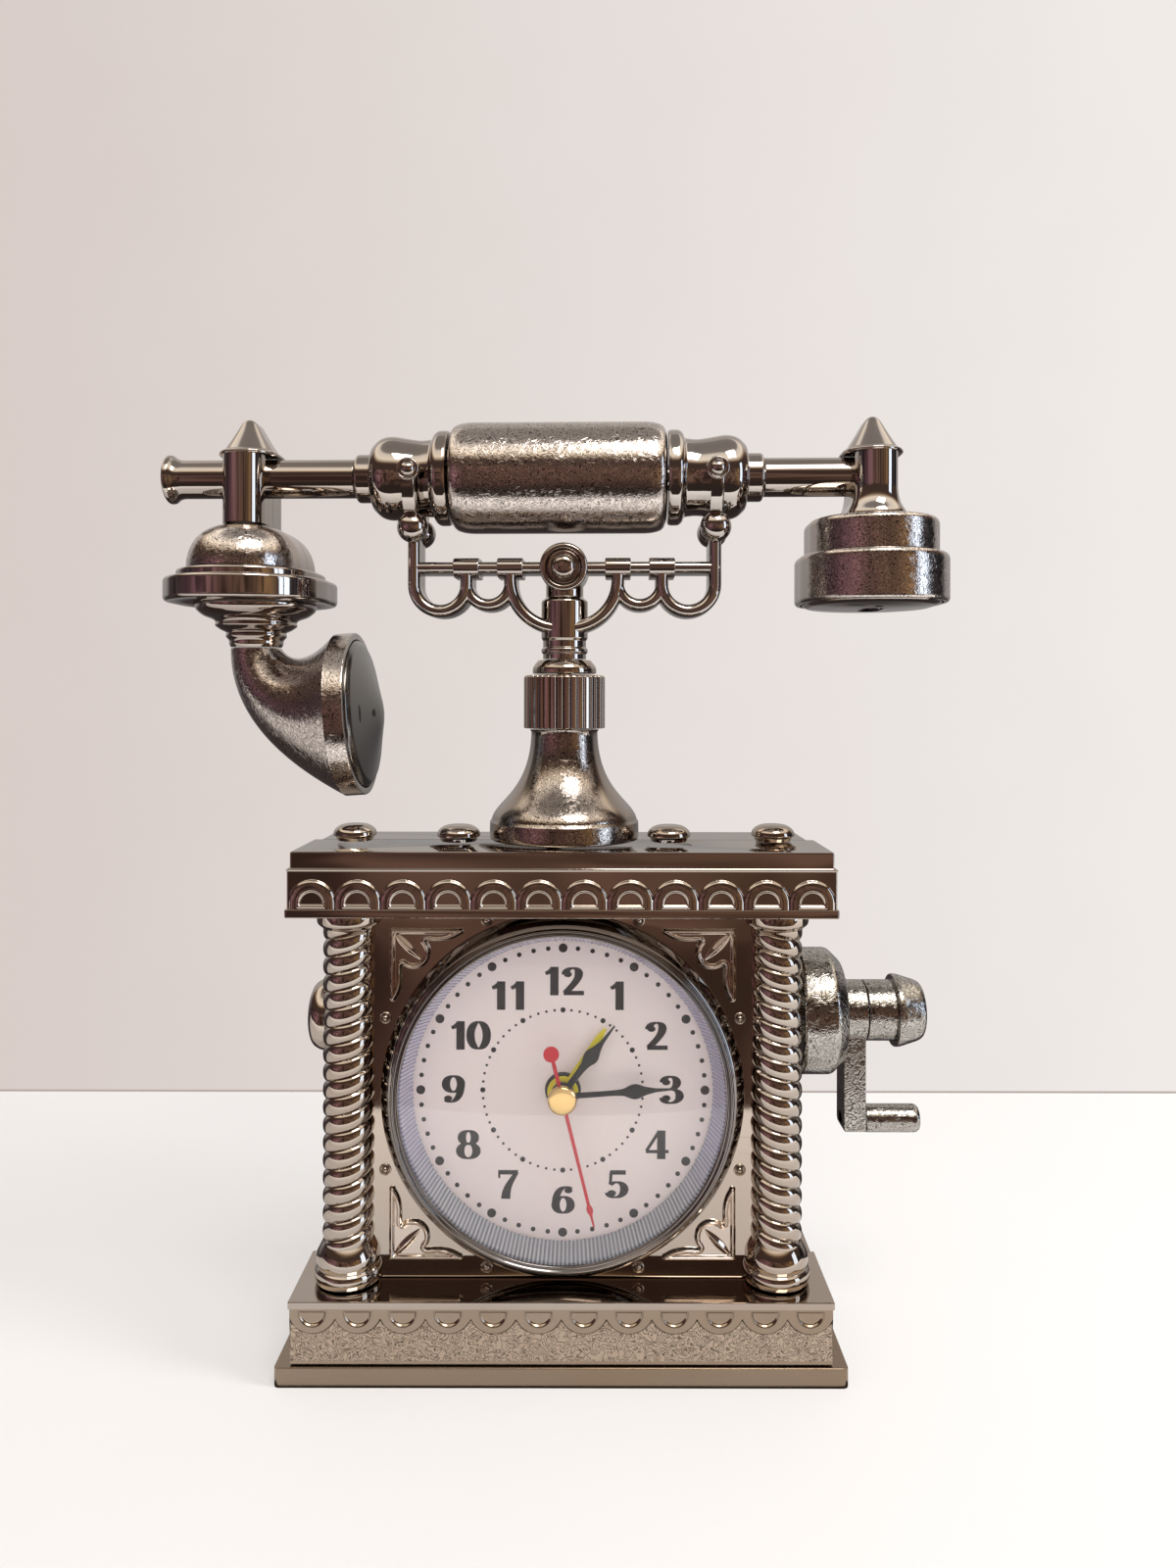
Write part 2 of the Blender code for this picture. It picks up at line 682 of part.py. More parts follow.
def screw_boss(side):
    """Post under the plinth top that a base screw goes into, and its bore."""
    post = bmesh.new()
    top = PLINTH_TOP - BITE
    low = PLINTH_BOTTOM + GAP
    turned(post, [(0.0, top), (SCREW_BOSS, top), (SCREW_BOSS, low), (0.0, low)], 12)
    bore = bmesh.new()
    high = PLINTH_TOP - PLATE_WALL - BITE / 2
    radius = SCREW_SHANK + GAP
    turned(bore, [(0.0, high), (radius, high), (radius, 0.0), (0.0, 0.0)], 12)
    spot = (side * SCREW_X, -side * SCREW_Y, 0.0)
    return moved(post, spot), moved(bore, spot)


def rear_beyond():
    """Reach of a cutter past the rear of the case."""
    return PLINTH_REAR + PLATE_WALL


def make_front_shell(bores):
    """Front half of plinth, panel and cornice in one moulding, open behind and below."""
    body = bmesh.new()
    lip = PLINTH_TOP - LIP_HEIGHT
    far = rear_beyond()
    rings = [level_box(PLINTH_HALF, PLINTH_FRONT, far, PLINTH_BOTTOM),
             level_box(PLINTH_HALF, PLINTH_FRONT, far, lip),
             level_box(PLINTH_HALF + LIP_SIDE, PLINTH_FRONT + LIP_PROUD, far + BITE, lip),
             level_box(PLINTH_HALF + LIP_SIDE, PLINTH_FRONT + LIP_PROUD, far + BITE, PLINTH_TOP),
             level_box(CASE_HALF, PANEL_FRONT, far, PLINTH_TOP),
             level_box(CASE_HALF, PANEL_FRONT, far, CORNICE_BOTTOM),
             level_box(BAND_HALF, BAND_FRONT, far + BITE, CORNICE_BOTTOM),
             level_box(BAND_HALF, BAND_FRONT, far + BITE, FASCIA_BOTTOM),
             level_box(FASCIA_HALF, FASCIA_FRONT, far, FASCIA_BOTTOM),
             level_box(FASCIA_HALF, FASCIA_FRONT, far, SLAB_BOTTOM),
             level_box(SLAB_HALF, SLAB_FRONT, far - BITE, SLAB_BOTTOM),
             level_box(SLAB_HALF, SLAB_FRONT, far - BITE, CORNICE_TOP)]
    loft(body, rings)
    shell = finish("front_shell", body, DARK_CHROME)

    hollow = bmesh.new()
    deep = far + 2 * PLATE_WALL
    wide = PLINTH_HALF - PLATE_WALL
    ahead = PLINTH_FRONT - PLATE_WALL
    plinth_roof = PLINTH_TOP - PLATE_WALL
    cornice_floor = CORNICE_BOTTOM + PLATE_WALL
    cornice_roof = CORNICE_TOP - PLATE_WALL
    loft(hollow, [level_box(wide, ahead, deep, 0.0), level_box(wide, ahead, deep, plinth_roof),
                  level_box(PANEL_CAVITY_HALF, PANEL_FRONT - PLATE_WALL, deep + BITE, plinth_roof),
                  level_box(PANEL_CAVITY_HALF, PANEL_FRONT - PLATE_WALL, deep + BITE, cornice_floor),
                  level_box(wide, ahead, deep, cornice_floor),
                  level_box(wide, ahead, deep, cornice_roof)])
    cut(shell, tool("front_hollow", hollow))

    sides = bmesh.new()
    reach = CASE_HALF - PLATE_WALL
    block(sides, (-reach, 0.0, plinth_roof - BITE), (reach, deep + 2 * BITE, cornice_floor + BITE))
    cut(shell, tool("front_sides", sides))

    behind = bmesh.new()
    edge = BASE_WIDTH
    block(behind, (-edge, SEAM_Y - GAP / 2, -edge), (edge, 2 * deep, 2 * edge))
    cut(shell, tool("behind_seam", behind))

    openings = bmesh.new()
    for side in (-1, 1):
        recess = bmesh.new()
        outline = column_profile(GAP)
        low = outline[0][1] - GAP * 0.5
        high = outline[-1][1] + GAP * 0.5
        stretch = [(outline[0][0], low)] + outline[1:-1] + [(outline[-1][0], high)]
        turned(recess, [(0.0, low)] + stretch + [(0.0, high)], 16)
        append(openings, moved(recess, (side * COLUMN_X, COLUMN_Y, 0.0)))
    hole = bmesh.new()
    radius = BEZEL_BARREL + BEZEL_WALL + GAP
    turned(hole, [(0.0, PANEL_FRONT + BITE), (radius, PANEL_FRONT + BITE),
                  (radius, PANEL_FRONT - PLATE_WALL - BITE), (0.0, PANEL_FRONT - PLATE_WALL - BITE)], 32)
    append(openings, moved(hole, DIAL_PLACE, Matrix.Rotation(math.pi / 2, 3, "X")))
    cut(shell, tool("front_openings", openings))

    relief = bmesh.new()
    prism(relief, arcade_outline(), BITE - FASCIA_FRONT, -FASCIA_FRONT - ARCH_PROUD)
    prism(relief, apron_outline(), BITE - PLINTH_FRONT, -PLINTH_FRONT - SCALLOP_PROUD)
    for side, rise in corners():
        outline = [(side * (ORNAMENT_X - x), DIAL_Z + rise * (ORNAMENT_Z - y))
                   for x, y in ornament_outline()]
        prism(relief, outline, BITE - PANEL_FRONT, -PANEL_FRONT - ORNAMENT_PROUD)
        for across, up in RIVETS:
            rivet = bmesh.new()
            turned(rivet, [(0.0, -BITE), (RIVET_RADIUS, -BITE), (RIVET_RADIUS, RIVET_HEIGHT * 0.4),
                           (RIVET_RADIUS * 0.55, RIVET_HEIGHT * 0.45),
                           (RIVET_RADIUS * 0.4, RIVET_HEIGHT), (0.0, RIVET_HEIGHT)], 8)
            place = (side * across, -PANEL_FRONT, DIAL_Z + rise * up)
            append(relief, moved(rivet, place, Matrix.Rotation(math.pi / 2, 3, "X")))
    post, bore = screw_boss(1)
    append(relief, post)
    add(shell, tool("front_relief", relief))

    pockets = bmesh.new()
    for index in range(ARCH_COUNT):
        centre = (index - (ARCH_COUNT - 1) / 2) * ARCH_PITCH
        low = FASCIA_BOTTOM + GAP
        stretch = arc((centre, low + POCKET_LEG), ARCH_POCKET, 0.0, 180.0, 6)
        outline = [(centre + ARCH_POCKET, low)] + stretch + [(centre - ARCH_POCKET, low)]
        prism(pockets, outline, -FASCIA_FRONT - GAP / 3, -FASCIA_FRONT - 2 * ARCH_PROUD)
    for index in range(SCALLOP_COUNT):
        centre = (index - (SCALLOP_COUNT - 1) / 2) * SCALLOP_PITCH
        high = lip - GAP
        stretch = arc((centre, high - POCKET_LEG), SCALLOP_POCKET, 180.0, 360.0, 6)
        outline = [(centre - SCALLOP_POCKET, high)] + stretch + [(centre + SCALLOP_POCKET, high)]
        prism(pockets, outline, -PLINTH_FRONT - GAP / 3, -PLINTH_FRONT - 2 * SCALLOP_PROUD)
    for side, rise in corners():
        outline = [(side * (ORNAMENT_X - x), DIAL_Z + rise * (ORNAMENT_Z - y))
                   for x, y in ornament_groove()]
        prism(pockets, outline, -PANEL_FRONT - GAP / 2, -PANEL_FRONT - 2 * ORNAMENT_PROUD)
    append(pockets, bore)
    cut(shell, tool("front_pockets", pockets))
    cut(shell, bores)


def make_rear_shell(bores):
    """Rear half of plinth, case and cornice, with the opening behind the movement."""
    body = bmesh.new()
    ahead = PANEL_FRONT
    plinth = PLINTH_HALF - REAR_INSET / 4
    cornice = SLAB_HALF - REAR_INSET
    loft(body, [level_box(plinth, ahead, PLINTH_REAR, PLINTH_BOTTOM),
                level_box(plinth, ahead, PLINTH_REAR, PLINTH_TOP),
                level_box(CASE_HALF, ahead - BITE, REAR_FACE, PLINTH_TOP),
                level_box(CASE_HALF, ahead - BITE, REAR_FACE, CORNICE_BOTTOM),
                level_box(cornice, ahead, CORNICE_REAR, CORNICE_BOTTOM),
                level_box(cornice, ahead, CORNICE_REAR, CORNICE_TOP)])
    shell = finish("rear_shell", body, DARK_CHROME)
    hollow = bmesh.new()
    roof = PLINTH_TOP - PLATE_WALL
    floor = CORNICE_BOTTOM + PLATE_WALL
    wall = PLATE_WALL
    loft(hollow, [level_box(plinth - wall, 2 * ahead, PLINTH_REAR - wall, 0.0),
                  level_box(plinth - wall, 2 * ahead, PLINTH_REAR - wall, roof),
                  level_box(CASE_HALF - wall, 2 * ahead + wall, REAR_FACE - wall, roof),
                  level_box(CASE_HALF - wall, 2 * ahead + wall, REAR_FACE - wall, floor),
                  level_box(cornice - wall, 2 * ahead, CORNICE_REAR - wall, floor),
                  level_box(cornice - wall, 2 * ahead, CORNICE_REAR - wall, CORNICE_TOP - wall)])
    cut(shell, tool("rear_hollow", hollow))
    front = bmesh.new()
    edge = BASE_WIDTH
    block(front, (-edge, -2 * edge, -edge), (edge, SEAM_Y + GAP / 2, 2 * edge))
    cut(shell, tool("before_seam", front))
    window = bmesh.new()
    reach = REAR_OPENING
    block(window, (-reach, REAR_FACE - 2 * wall, DIAL_Z - reach),
          (reach, REAR_FACE + wall, DIAL_Z + reach))
    cut(shell, tool("rear_window", window))
    post, bore = screw_boss(-1)
    add(shell, tool("rear_post", post))
    cut(shell, tool("rear_bore", bore))
    cut(shell, bores)


def make_studs():
    """Four mushroom studs on top of the cornice."""
    inner = SEAM_Y - STUD_FORWARD - INNER_STUD_FORWARD
    outer = SEAM_Y - STUD_FORWARD
    studs = (("left_outer", -OUTER_STUD_X, outer), ("left_inner", -INNER_STUD_X, inner),
             ("right_inner", INNER_STUD_X, inner), ("right_outer", OUTER_STUD_X, outer))
    for name, across, along in studs:
        body = bmesh.new()
        foot = STUD_RADIUS * 0.86
        crown = [(STUD_RADIUS * math.cos(math.radians(angle)),
                  STUD_HEIGHT * 0.3 + STUD_HEIGHT * 0.7 * math.sin(math.radians(angle)))
                 for angle in (0.0, 25.0, 50.0, 72.0)]
        turned(body, [(0.0, 0.0), (foot, 0.0)] + crown + [(0.0, STUD_HEIGHT)], 16)
        place = (across, along, CORNICE_TOP + GAP)
        finish("stud_" + name, body, DARK_CHROME, place)


def make_clock_face():
    """Bezel, lens, fluted ring and dial, all turned about the dial's axis."""
    barrel = BEZEL_BARREL + BEZEL_WALL
    lip = BEZEL_BARREL - BEZEL_LIP
    rise = BEZEL_FRONT - BEZEL_SEAT
    seat = BEZEL_FRONT - 2 * GAP
    body = bmesh.new()
    slope = [(BEZEL_RADIUS, BEZEL_SEAT), (BEZEL_RADIUS, BEZEL_SEAT + rise * 0.16),
             (BEZEL_RADIUS - rise * 0.2, BEZEL_SEAT + rise * 0.5),
             (BEZEL_RADIUS - rise * 0.42, BEZEL_SEAT + rise * 0.86),
             (barrel - BEZEL_WALL * 0.3, BEZEL_FRONT)]
    turned(body, slope + [(lip, BEZEL_FRONT - GAP), (lip, seat), (BEZEL_BARREL, seat),
                          (BEZEL_BARREL, TRAY_FRONT + GAP), (barrel, TRAY_FRONT + GAP),
                          (barrel, BEZEL_SEAT)], 36)
    finish("bezel", body, DARK_CHROME, DIAL_PLACE, TOWARDS_FRONT)

    body = bmesh.new()
    edge = BEZEL_BARREL - GAP
    front = seat - GAP
    back = front - LENS_THICK
    turned(body, [(0.0, back + LENS_CROWN), (edge * 0.55, back + LENS_CROWN * 0.72), (edge, back),
                  (edge, front), (edge * 0.55, front + LENS_CROWN * 0.72), (0.0, front + LENS_CROWN)], 32)
    finish("lens", body, CLEAR, DIAL_PLACE, TOWARDS_FRONT)

    body = bmesh.new()
    turned(body, [(edge, back - GAP), (FLUTE_FRONT, back - GAP), (FLUTE_INNER, DIAL_FACE + GAP),
                  (edge, DIAL_FACE + GAP)], 32)
    finish("fluted_ring", body, LAVENDER, DIAL_PLACE, TOWARDS_FRONT)

    body = bmesh.new()
    turned(body, [(DIAL_BORE, DIAL_FACE), (edge, DIAL_FACE), (edge, DIAL_FACE - DIAL_THICK),
                  (DIAL_BORE, DIAL_FACE - DIAL_THICK)], 32)
    finish("dial_plate", body, WHITE_CARD, DIAL_PLACE, TOWARDS_FRONT)


def tube_radii(order):
    """Inner and outer radius of the nested tube at one place, counted from the seconds arbor."""
    inner = ARBOR_RADIUS + order * GAP + (order - 1) * TUBE_WALL
    return inner, inner + TUBE_WALL


def hand_front(order):
    """Rear face of the hand in one layer; the alarm hand is layer 0, the seconds hand layer 3."""
    return DIAL_FACE + HAND_STEP + order * (HAND_THICK + HAND_STEP)


def blade(length, stem, spade, middle):
    """Closed outline of a spade hand along +Y: even stem, swelling at the middle and narrow tip."""
    tip = stem / 2
    half = [(stem, 0.0), (stem, middle - 2.0 * spade), (0.9 * spade, middle - 0.8 * spade),
            (spade, middle), (0.7 * spade, middle + 1.2 * spade), (tip, middle + 2.4 * spade), (tip, length)]
    return half + [(-x, y) for x, y in reversed(half)]


def hand(name, skin, order, hub, bore, angle, outline):
    """Blade joined to its hub, and bored for the tubes that pass through it."""
    low = hand_front(order)
    body = bmesh.new()
    turned(body, [(0.0, low), (hub, low), (hub, low + HAND_THICK), (0.0, low + HAND_THICK)], 16)
    made = finish(name, body, skin, DIAL_PLACE, TOWARDS_FRONT)
    leaf = bmesh.new()
    prism(leaf, outline, low + HAND_THICK * 0.2, low + HAND_THICK * 0.8, axis="Z")
    turn = Matrix.Rotation(-math.radians(angle), 3, "Z")
    add(made, tool(name + "_blade", moved(leaf, rotation=turn), DIAL_PLACE, TOWARDS_FRONT))
    if bore:
        hole = bmesh.new()
        turned(hole, [(0.0, low - BITE), (bore, low - BITE), (bore, low + HAND_THICK + BITE),
                      (0.0, low + HAND_THICK + BITE)], 12)
        cut(made, tool(name + "_bore", hole, DIAL_PLACE, TOWARDS_FRONT))


def make_hands():
    """Alarm, hour, minute and seconds hands, and the cap over them."""
    alarm = [(ALARM_HALF, 0.0), (ALARM_HALF, ALARM_LENGTH), (-ALARM_HALF, ALARM_LENGTH), (-ALARM_HALF, 0.0)]
    hand("alarm_hand", YELLOW_METAL, 0, ALARM_HUB, tube_radii(3)[0], ALARM_ANGLE, alarm)
    hour = blade(HOUR_LENGTH, HOUR_HALF, HOUR_SPADE, HOUR_SPADE_AT)
    hand("hour_hand", BLACK_METAL, 1, HOUR_HUB, tube_radii(2)[0], HOUR_ANGLE, hour)
    minute = blade(MINUTE_LENGTH, MINUTE_HALF, MINUTE_SPADE, MINUTE_SPADE_AT)
    hand("minute_hand", BLACK_METAL, 2, MINUTE_HUB, tube_radii(1)[0], MINUTE_ANGLE, minute)
    stem = SECOND_HALF
    tip = SECOND_HALF / 2
    bulge = [(stem, SECOND_BULGE_AT - SECOND_BULGE), (SECOND_BULGE, SECOND_BULGE_AT),
             (tip, SECOND_BULGE_AT + 2 * SECOND_BULGE)]
    left = [(-x, y) for x, y in bulge]
    round_end = arc((0.0, -COUNTER_REACH), COUNTER_RADIUS, 70.0, -250.0, 9)
    seconds = [(tip, SECOND_LENGTH)] + bulge[::-1] + round_end + left + [(-tip, SECOND_LENGTH)]
    hand("second_hand", RED_METAL, 3, SECOND_HUB, 0.0, SECOND_ANGLE, seconds)
    body = bmesh.new()
    low = hand_front(3) + HAND_THICK + GAP
    high = low + HAND_CAP_HEIGHT
    turned(body, [(0.0, low), (HAND_CAP_RADIUS, low), (HAND_CAP_RADIUS, low + HAND_CAP_HEIGHT * 0.4),
                  (HAND_CAP_RADIUS * 0.78, low + HAND_CAP_HEIGHT * 0.82), (0.0, high)], 16)
    finish("hand_cap", body, GOLD, DIAL_PLACE, TOWARDS_FRONT)


def wheel_layer(order):
    """Front and back of the wheel in one layer behind the tray's front wall."""
    front = TRAY_FRONT - TRAY_WALL - GAP - order * (WHEEL_THICK + GAP)
    return front, front - WHEEL_THICK


def make_wheels():
    """Wheels that carry the hands on nested tubes, the motion wheel and the two setting knobs."""
    for name, order, tube, radius in (("alarm_wheel", 0, 3, ALARM_WHEEL), ("hour_wheel", 1, 2, HOUR_WHEEL)):
        front, back = wheel_layer(order)
        inner, outer = tube_radii(tube)
        end = hand_front(order) - GAP
        body = bmesh.new()
        turned(body, [(inner, end), (outer, end), (outer, front), (radius, front), (radius, back),
                      (inner, back)], 16)
        finish(name, body, BRASS, DIAL_PLACE, TOWARDS_FRONT)

    pinion_front = wheel_layer(2)[0]
    front, back = wheel_layer(3)
    inner, outer = tube_radii(1)
    end = hand_front(2) - GAP
    body = bmesh.new()
    turned(body, [(inner, end), (outer, end), (outer, pinion_front), (CENTRE_PINION, pinion_front),
                  (CENTRE_PINION, front), (CENTRE_WHEEL, front), (CENTRE_WHEEL, back), (inner, back)], 16)
    finish("centre_wheel", body, BRASS, DIAL_PLACE, TOWARDS_FRONT)

    front, back = wheel_layer(4)
    end = hand_front(3) - GAP
    pivot = COVER_FRONT + GAP
    body = bmesh.new()
    turned(body, [(0.0, end), (ARBOR_RADIUS, end), (ARBOR_RADIUS, front), (SECOND_WHEEL, front),
                  (SECOND_WHEEL, back), (PIVOT_RADIUS, back), (PIVOT_RADIUS, pivot), (0.0, pivot)], 16)
    finish("second_wheel", body, BRASS, DIAL_PLACE, TOWARDS_FRONT)

    top = wheel_layer(1)[0]
    front, back = wheel_layer(2)
    body = bmesh.new()
    turned(body, [(0.0, top), (MOTION_PINION, top), (MOTION_PINION, front), (MOTION_WHEEL, front),
                  (MOTION_WHEEL, back), (PIVOT_RADIUS, back), (PIVOT_RADIUS, pivot), (0.0, pivot)], 16)
    spread = HOUR_WHEEL + MOTION_PINION + GAP
    finish("motion_wheel", body, BRASS, (spread, 0.0, DIAL_Z), TOWARDS_FRONT)

    time_place, alarm_place = knob_places()
    rows = (("time_knob", SETTING_PINION, 3, time_place), ("alarm_knob", ALARM_PINION, 0, alarm_place))
    for name, pinion, order, (across, up) in rows:
        front, back = wheel_layer(order)
        base = COVER_BACK - GAP
        tip = base - KNOB_HEIGHT
        body = bmesh.new()
        turned(body, [(0.0, front), (pinion, front), (pinion, back), (KNOB_ARBOR, back),
                      (KNOB_ARBOR, base), (KNOB_RADIUS, base), (KNOB_RADIUS, tip), (0.0, tip)], 16)
        finish(name, body, BLACK_PLASTIC, (across, 0.0, DIAL_Z + up), TOWARDS_FRONT)


def knob_places():
    """Dial-frame places and arbors of the two setting knobs."""
    time = (SETTING_PINION + CENTRE_WHEEL + GAP) / math.sqrt(2.0)
    alarm = (ALARM_PINION + ALARM_WHEEL + GAP) / math.sqrt(2.0)
    return (time, time), (-alarm, alarm)


def make_movement():
    """Movement tray and cover, with battery, door, coil, sounder and alarm switch."""
    body = bmesh.new()
    half = TRAY_HALF
    block(body, (-half, -half, TRAY_BACK), (half, half, TRAY_FRONT))
    tray = finish("movement_case", body, BLACK_PLASTIC, DIAL_PLACE, TOWARDS_FRONT)
    inside = bmesh.new()
    inner = half - TRAY_WALL
    block(inside, (-inner, -inner, TRAY_BACK - BITE), (inner, inner, TRAY_FRONT - TRAY_WALL))
    cut(tray, tool("tray_inside", inside, DIAL_PLACE, TOWARDS_FRONT))
    sleeve = bmesh.new()
    bore = tube_radii(3)[1] + GAP
    collar = DIAL_BORE - GAP
    turned(sleeve, [(0.0, DIAL_FACE + GAP), (collar, DIAL_FACE + GAP), (collar, TRAY_FRONT - BITE),
                    (0.0, TRAY_FRONT - BITE)], 16)
    add(tray, tool("tray_sleeve", sleeve, DIAL_PLACE, TOWARDS_FRONT))
    hole = bmesh.new()
    turned(hole, [(0.0, DIAL_FACE + PLATE_WALL), (bore, DIAL_FACE + PLATE_WALL),
                  (bore, TRAY_FRONT - 2 * PLATE_WALL), (0.0, TRAY_FRONT - 2 * PLATE_WALL)], 16)
    cut(tray, tool("tray_bore", hole, DIAL_PLACE, TOWARDS_FRONT))

    body = bmesh.new()
    block(body, (-half, -half, COVER_BACK), (half, half, COVER_FRONT))
    cover = finish("movement_cover", body, BLACK_PLASTIC, DIAL_PLACE, TOWARDS_FRONT)
    gaps = bmesh.new()
    low = COVER_BACK - BITE
    high = COVER_FRONT + BITE
    door = DOOR_HEIGHT / 2
    block(gaps, (-DOOR_HALF - GAP, -BATTERY_DROP - door - GAP, low),
          (DOOR_HALF + GAP, -BATTERY_DROP + door + GAP, high))
    slot = SWITCH_WIDTH / 2 + SWITCH_TRAVEL / 2
    block(gaps, (-slot, SWITCH_Z - SWITCH_WIDTH / 4 - GAP, low),
          (slot, SWITCH_Z + SWITCH_WIDTH / 4 + GAP, high))
    for place in knob_places():
        hole = bmesh.new()
        turned(hole, [(0.0, high), (KNOB_ARBOR + GAP, high), (KNOB_ARBOR + GAP, low), (0.0, low)], 12)
        append(gaps, moved(hole, (*place, 0.0)))
    cut(cover, tool("cover_gaps", gaps, DIAL_PLACE, TOWARDS_FRONT))

    body = bmesh.new()
    block(body, (-DOOR_HALF, -BATTERY_DROP - door, COVER_BACK),
          (DOOR_HALF, -BATTERY_DROP + door, COVER_FRONT))
    finish("battery_door", body, BLACK_PLASTIC, DIAL_PLACE, TOWARDS_FRONT)

    body = bmesh.new()
    stem_low = COVER_BACK - GAP
    width = SWITCH_WIDTH / 2 - GAP
    block(body, (-SWITCH_WIDTH / 2 - width, SWITCH_Z - SWITCH_WIDTH / 4, stem_low - BITE),
          (-SWITCH_WIDTH / 2 + width, SWITCH_Z + SWITCH_WIDTH / 4, COVER_FRONT + WHEEL_THICK))
    switch = finish("alarm_switch", body, WHITE_PLASTIC, DIAL_PLACE, TOWARDS_FRONT)
    cap = bmesh.new()
    block(cap, (-SWITCH_WIDTH, SWITCH_Z - SWITCH_WIDTH / 2, stem_low - SWITCH_WIDTH / 2),
          (0.0, SWITCH_Z + SWITCH_WIDTH / 2, stem_low))
    add(switch, tool("switch_cap", cap, DIAL_PLACE, TOWARDS_FRONT))

    body = bmesh.new()
    long = BATTERY_LENGTH / 2
    cap_radius = BATTERY_RADIUS * 0.38
    turned(body, [(0.0, -long), (BATTERY_RADIUS, -long), (BATTERY_RADIUS, long - BITE * 2),
                  (cap_radius, long - BITE * 2), (cap_radius, long), (0.0, long)], 16)
    middle = -COVER_FRONT - GAP - BATTERY_RADIUS
    finish("battery", body, BATTERY_WRAP, (0.0, middle, DIAL_Z - BATTERY_DROP), ALONG_X)

    body = bmesh.new()
    reach = COIL_LENGTH / 2
    spool = COIL_RADIUS * 0.85
    turned(body, [(0.0, -reach), (COIL_RADIUS, -reach), (COIL_RADIUS, -reach + TRAY_WALL),
                  (spool, -reach + TRAY_WALL), (spool, reach - TRAY_WALL),
                  (COIL_RADIUS, reach - TRAY_WALL), (COIL_RADIUS, reach), (0.0, reach)], 16)
    place = (inner - GAP - COIL_RADIUS, -COVER_FRONT - GAP - COIL_RADIUS, DIAL_Z + GAP)
    finish("coil", body, COPPER, place)

    body = bmesh.new()
    back = COVER_FRONT + GAP
    turned(body, [(0.0, back), (BUZZER_RADIUS, back), (BUZZER_RADIUS, back + BUZZER_THICK),
                  (0.0, back + BUZZER_THICK)], 16)
    place = (GAP + BUZZER_RADIUS - inner, 0.0, DIAL_Z)
    finish("buzzer", body, BLACK_PLASTIC, place, TOWARDS_FRONT)


def make_stem():
    """Bell foot, knurled nut and collar on one long bolt."""
    place = (0.0, SEAM_Y, 0.0)
    bore = BOLT_RADIUS + GAP
    low = BELL_BOTTOM
    top = low + BELL_HEIGHT
    foot = low + BELL_FOOT_HEIGHT
    body = bmesh.new()
    slope = curve_through([(BELL_FOOT * 0.98, foot), (BELL_FOOT * 0.93, foot + BELL_HEIGHT * 0.16),
                           (BELL_WAIST, foot + BELL_HEIGHT * 0.26), (BELL_WAIST, top - BELL_WAIST * 0.1)], 8)
    turned(body, [(bore, low), (BELL_FOOT, low), (BELL_FOOT, foot)] + [tuple(spot) for spot in slope]
           + [(BELL_WAIST * 1.03, top), (bore, top)], 20)
    finish("stem_bell", body, GRAINED_CHROME, place)

    body = bmesh.new()
    low = KNURL_BOTTOM
    rings = []
    for height in (low, low + KNURL_HEIGHT):
        ring = []
        for index in range(2 * KNURL_RIDGES):
            radius = KNURL_RADIUS if index % 2 else KNURL_RADIUS * 0.955
            angle = math.pi * index / KNURL_RIDGES
            ring.append((radius * math.cos(angle), radius * math.sin(angle), height))
        rings.append(ring)
    loft(body, rings)
    nut = finish("knurled_nut", body, DARK_CHROME, place)
    hole = bmesh.new()
    turned(hole, [(0.0, low + KNURL_HEIGHT + BITE), (bore, low + KNURL_HEIGHT + BITE),
                  (bore, low - BITE), (0.0, low - BITE)], 16)
    cut(nut, tool("nut_bore", hole, place))

    body = bmesh.new()
    low = COLLAR_BOTTOM
    high = low + COLLAR_HEIGHT
    turned(body, [(bore, low), (COLLAR_RADIUS, low), (COLLAR_RADIUS, low + COLLAR_HEIGHT * 0.45),
                  (COLLAR_RADIUS * 0.93, high - COLLAR_HEIGHT * 0.18), (COLLAR_RADIUS * 0.82, high),
                  (bore, high)], 20)
    finish("stem_collar", body, DARK_CHROME, place)

    body = bmesh.new()
    tip = NECK_BOTTOM + BOLT_REACH
    under = CORNICE_TOP - PLATE_WALL - GAP
    turned(body, [(0.0, tip), (BOLT_RADIUS, tip), (BOLT_RADIUS, under), (BOLT_HEAD, under),
                  (BOLT_HEAD, under - BOLT_HEAD * 0.8), (0.0, under - BOLT_HEAD * 0.8)], 12)
    finish("stem_bolt", body, STEEL, place)


def bar_section(width, depth):
    """Section of a cradle bar: flat at the seam side, rounded on the outside."""
    half = width / 2
    return [(-half, -BITE), (-half, depth - half * 0.8), (-half * 0.55, depth), (half * 0.55, depth),
            (half, depth - half * 0.8), (half, -BITE)]


def bar(path, width, depth, side):
    """Bar that follows a path in the plane of the cradle, as a mesh in the making."""
    body = bmesh.new()
    rings = []
    for index, spot in enumerate(path):
        before = Vector(path[max(index - 1, 0)])
        after = Vector(path[min(index + 1, len(path) - 1)])
        run = (after - before).normalized()
        across = Vector((-run[1], run[0]))
        ring = []
        for offset, out in bar_section(width, depth):
            point = Vector(spot) + across * offset
            ring.append((point[0], side * out, point[1]))
        rings.append(ring)
    loft(body, rings)
    return body


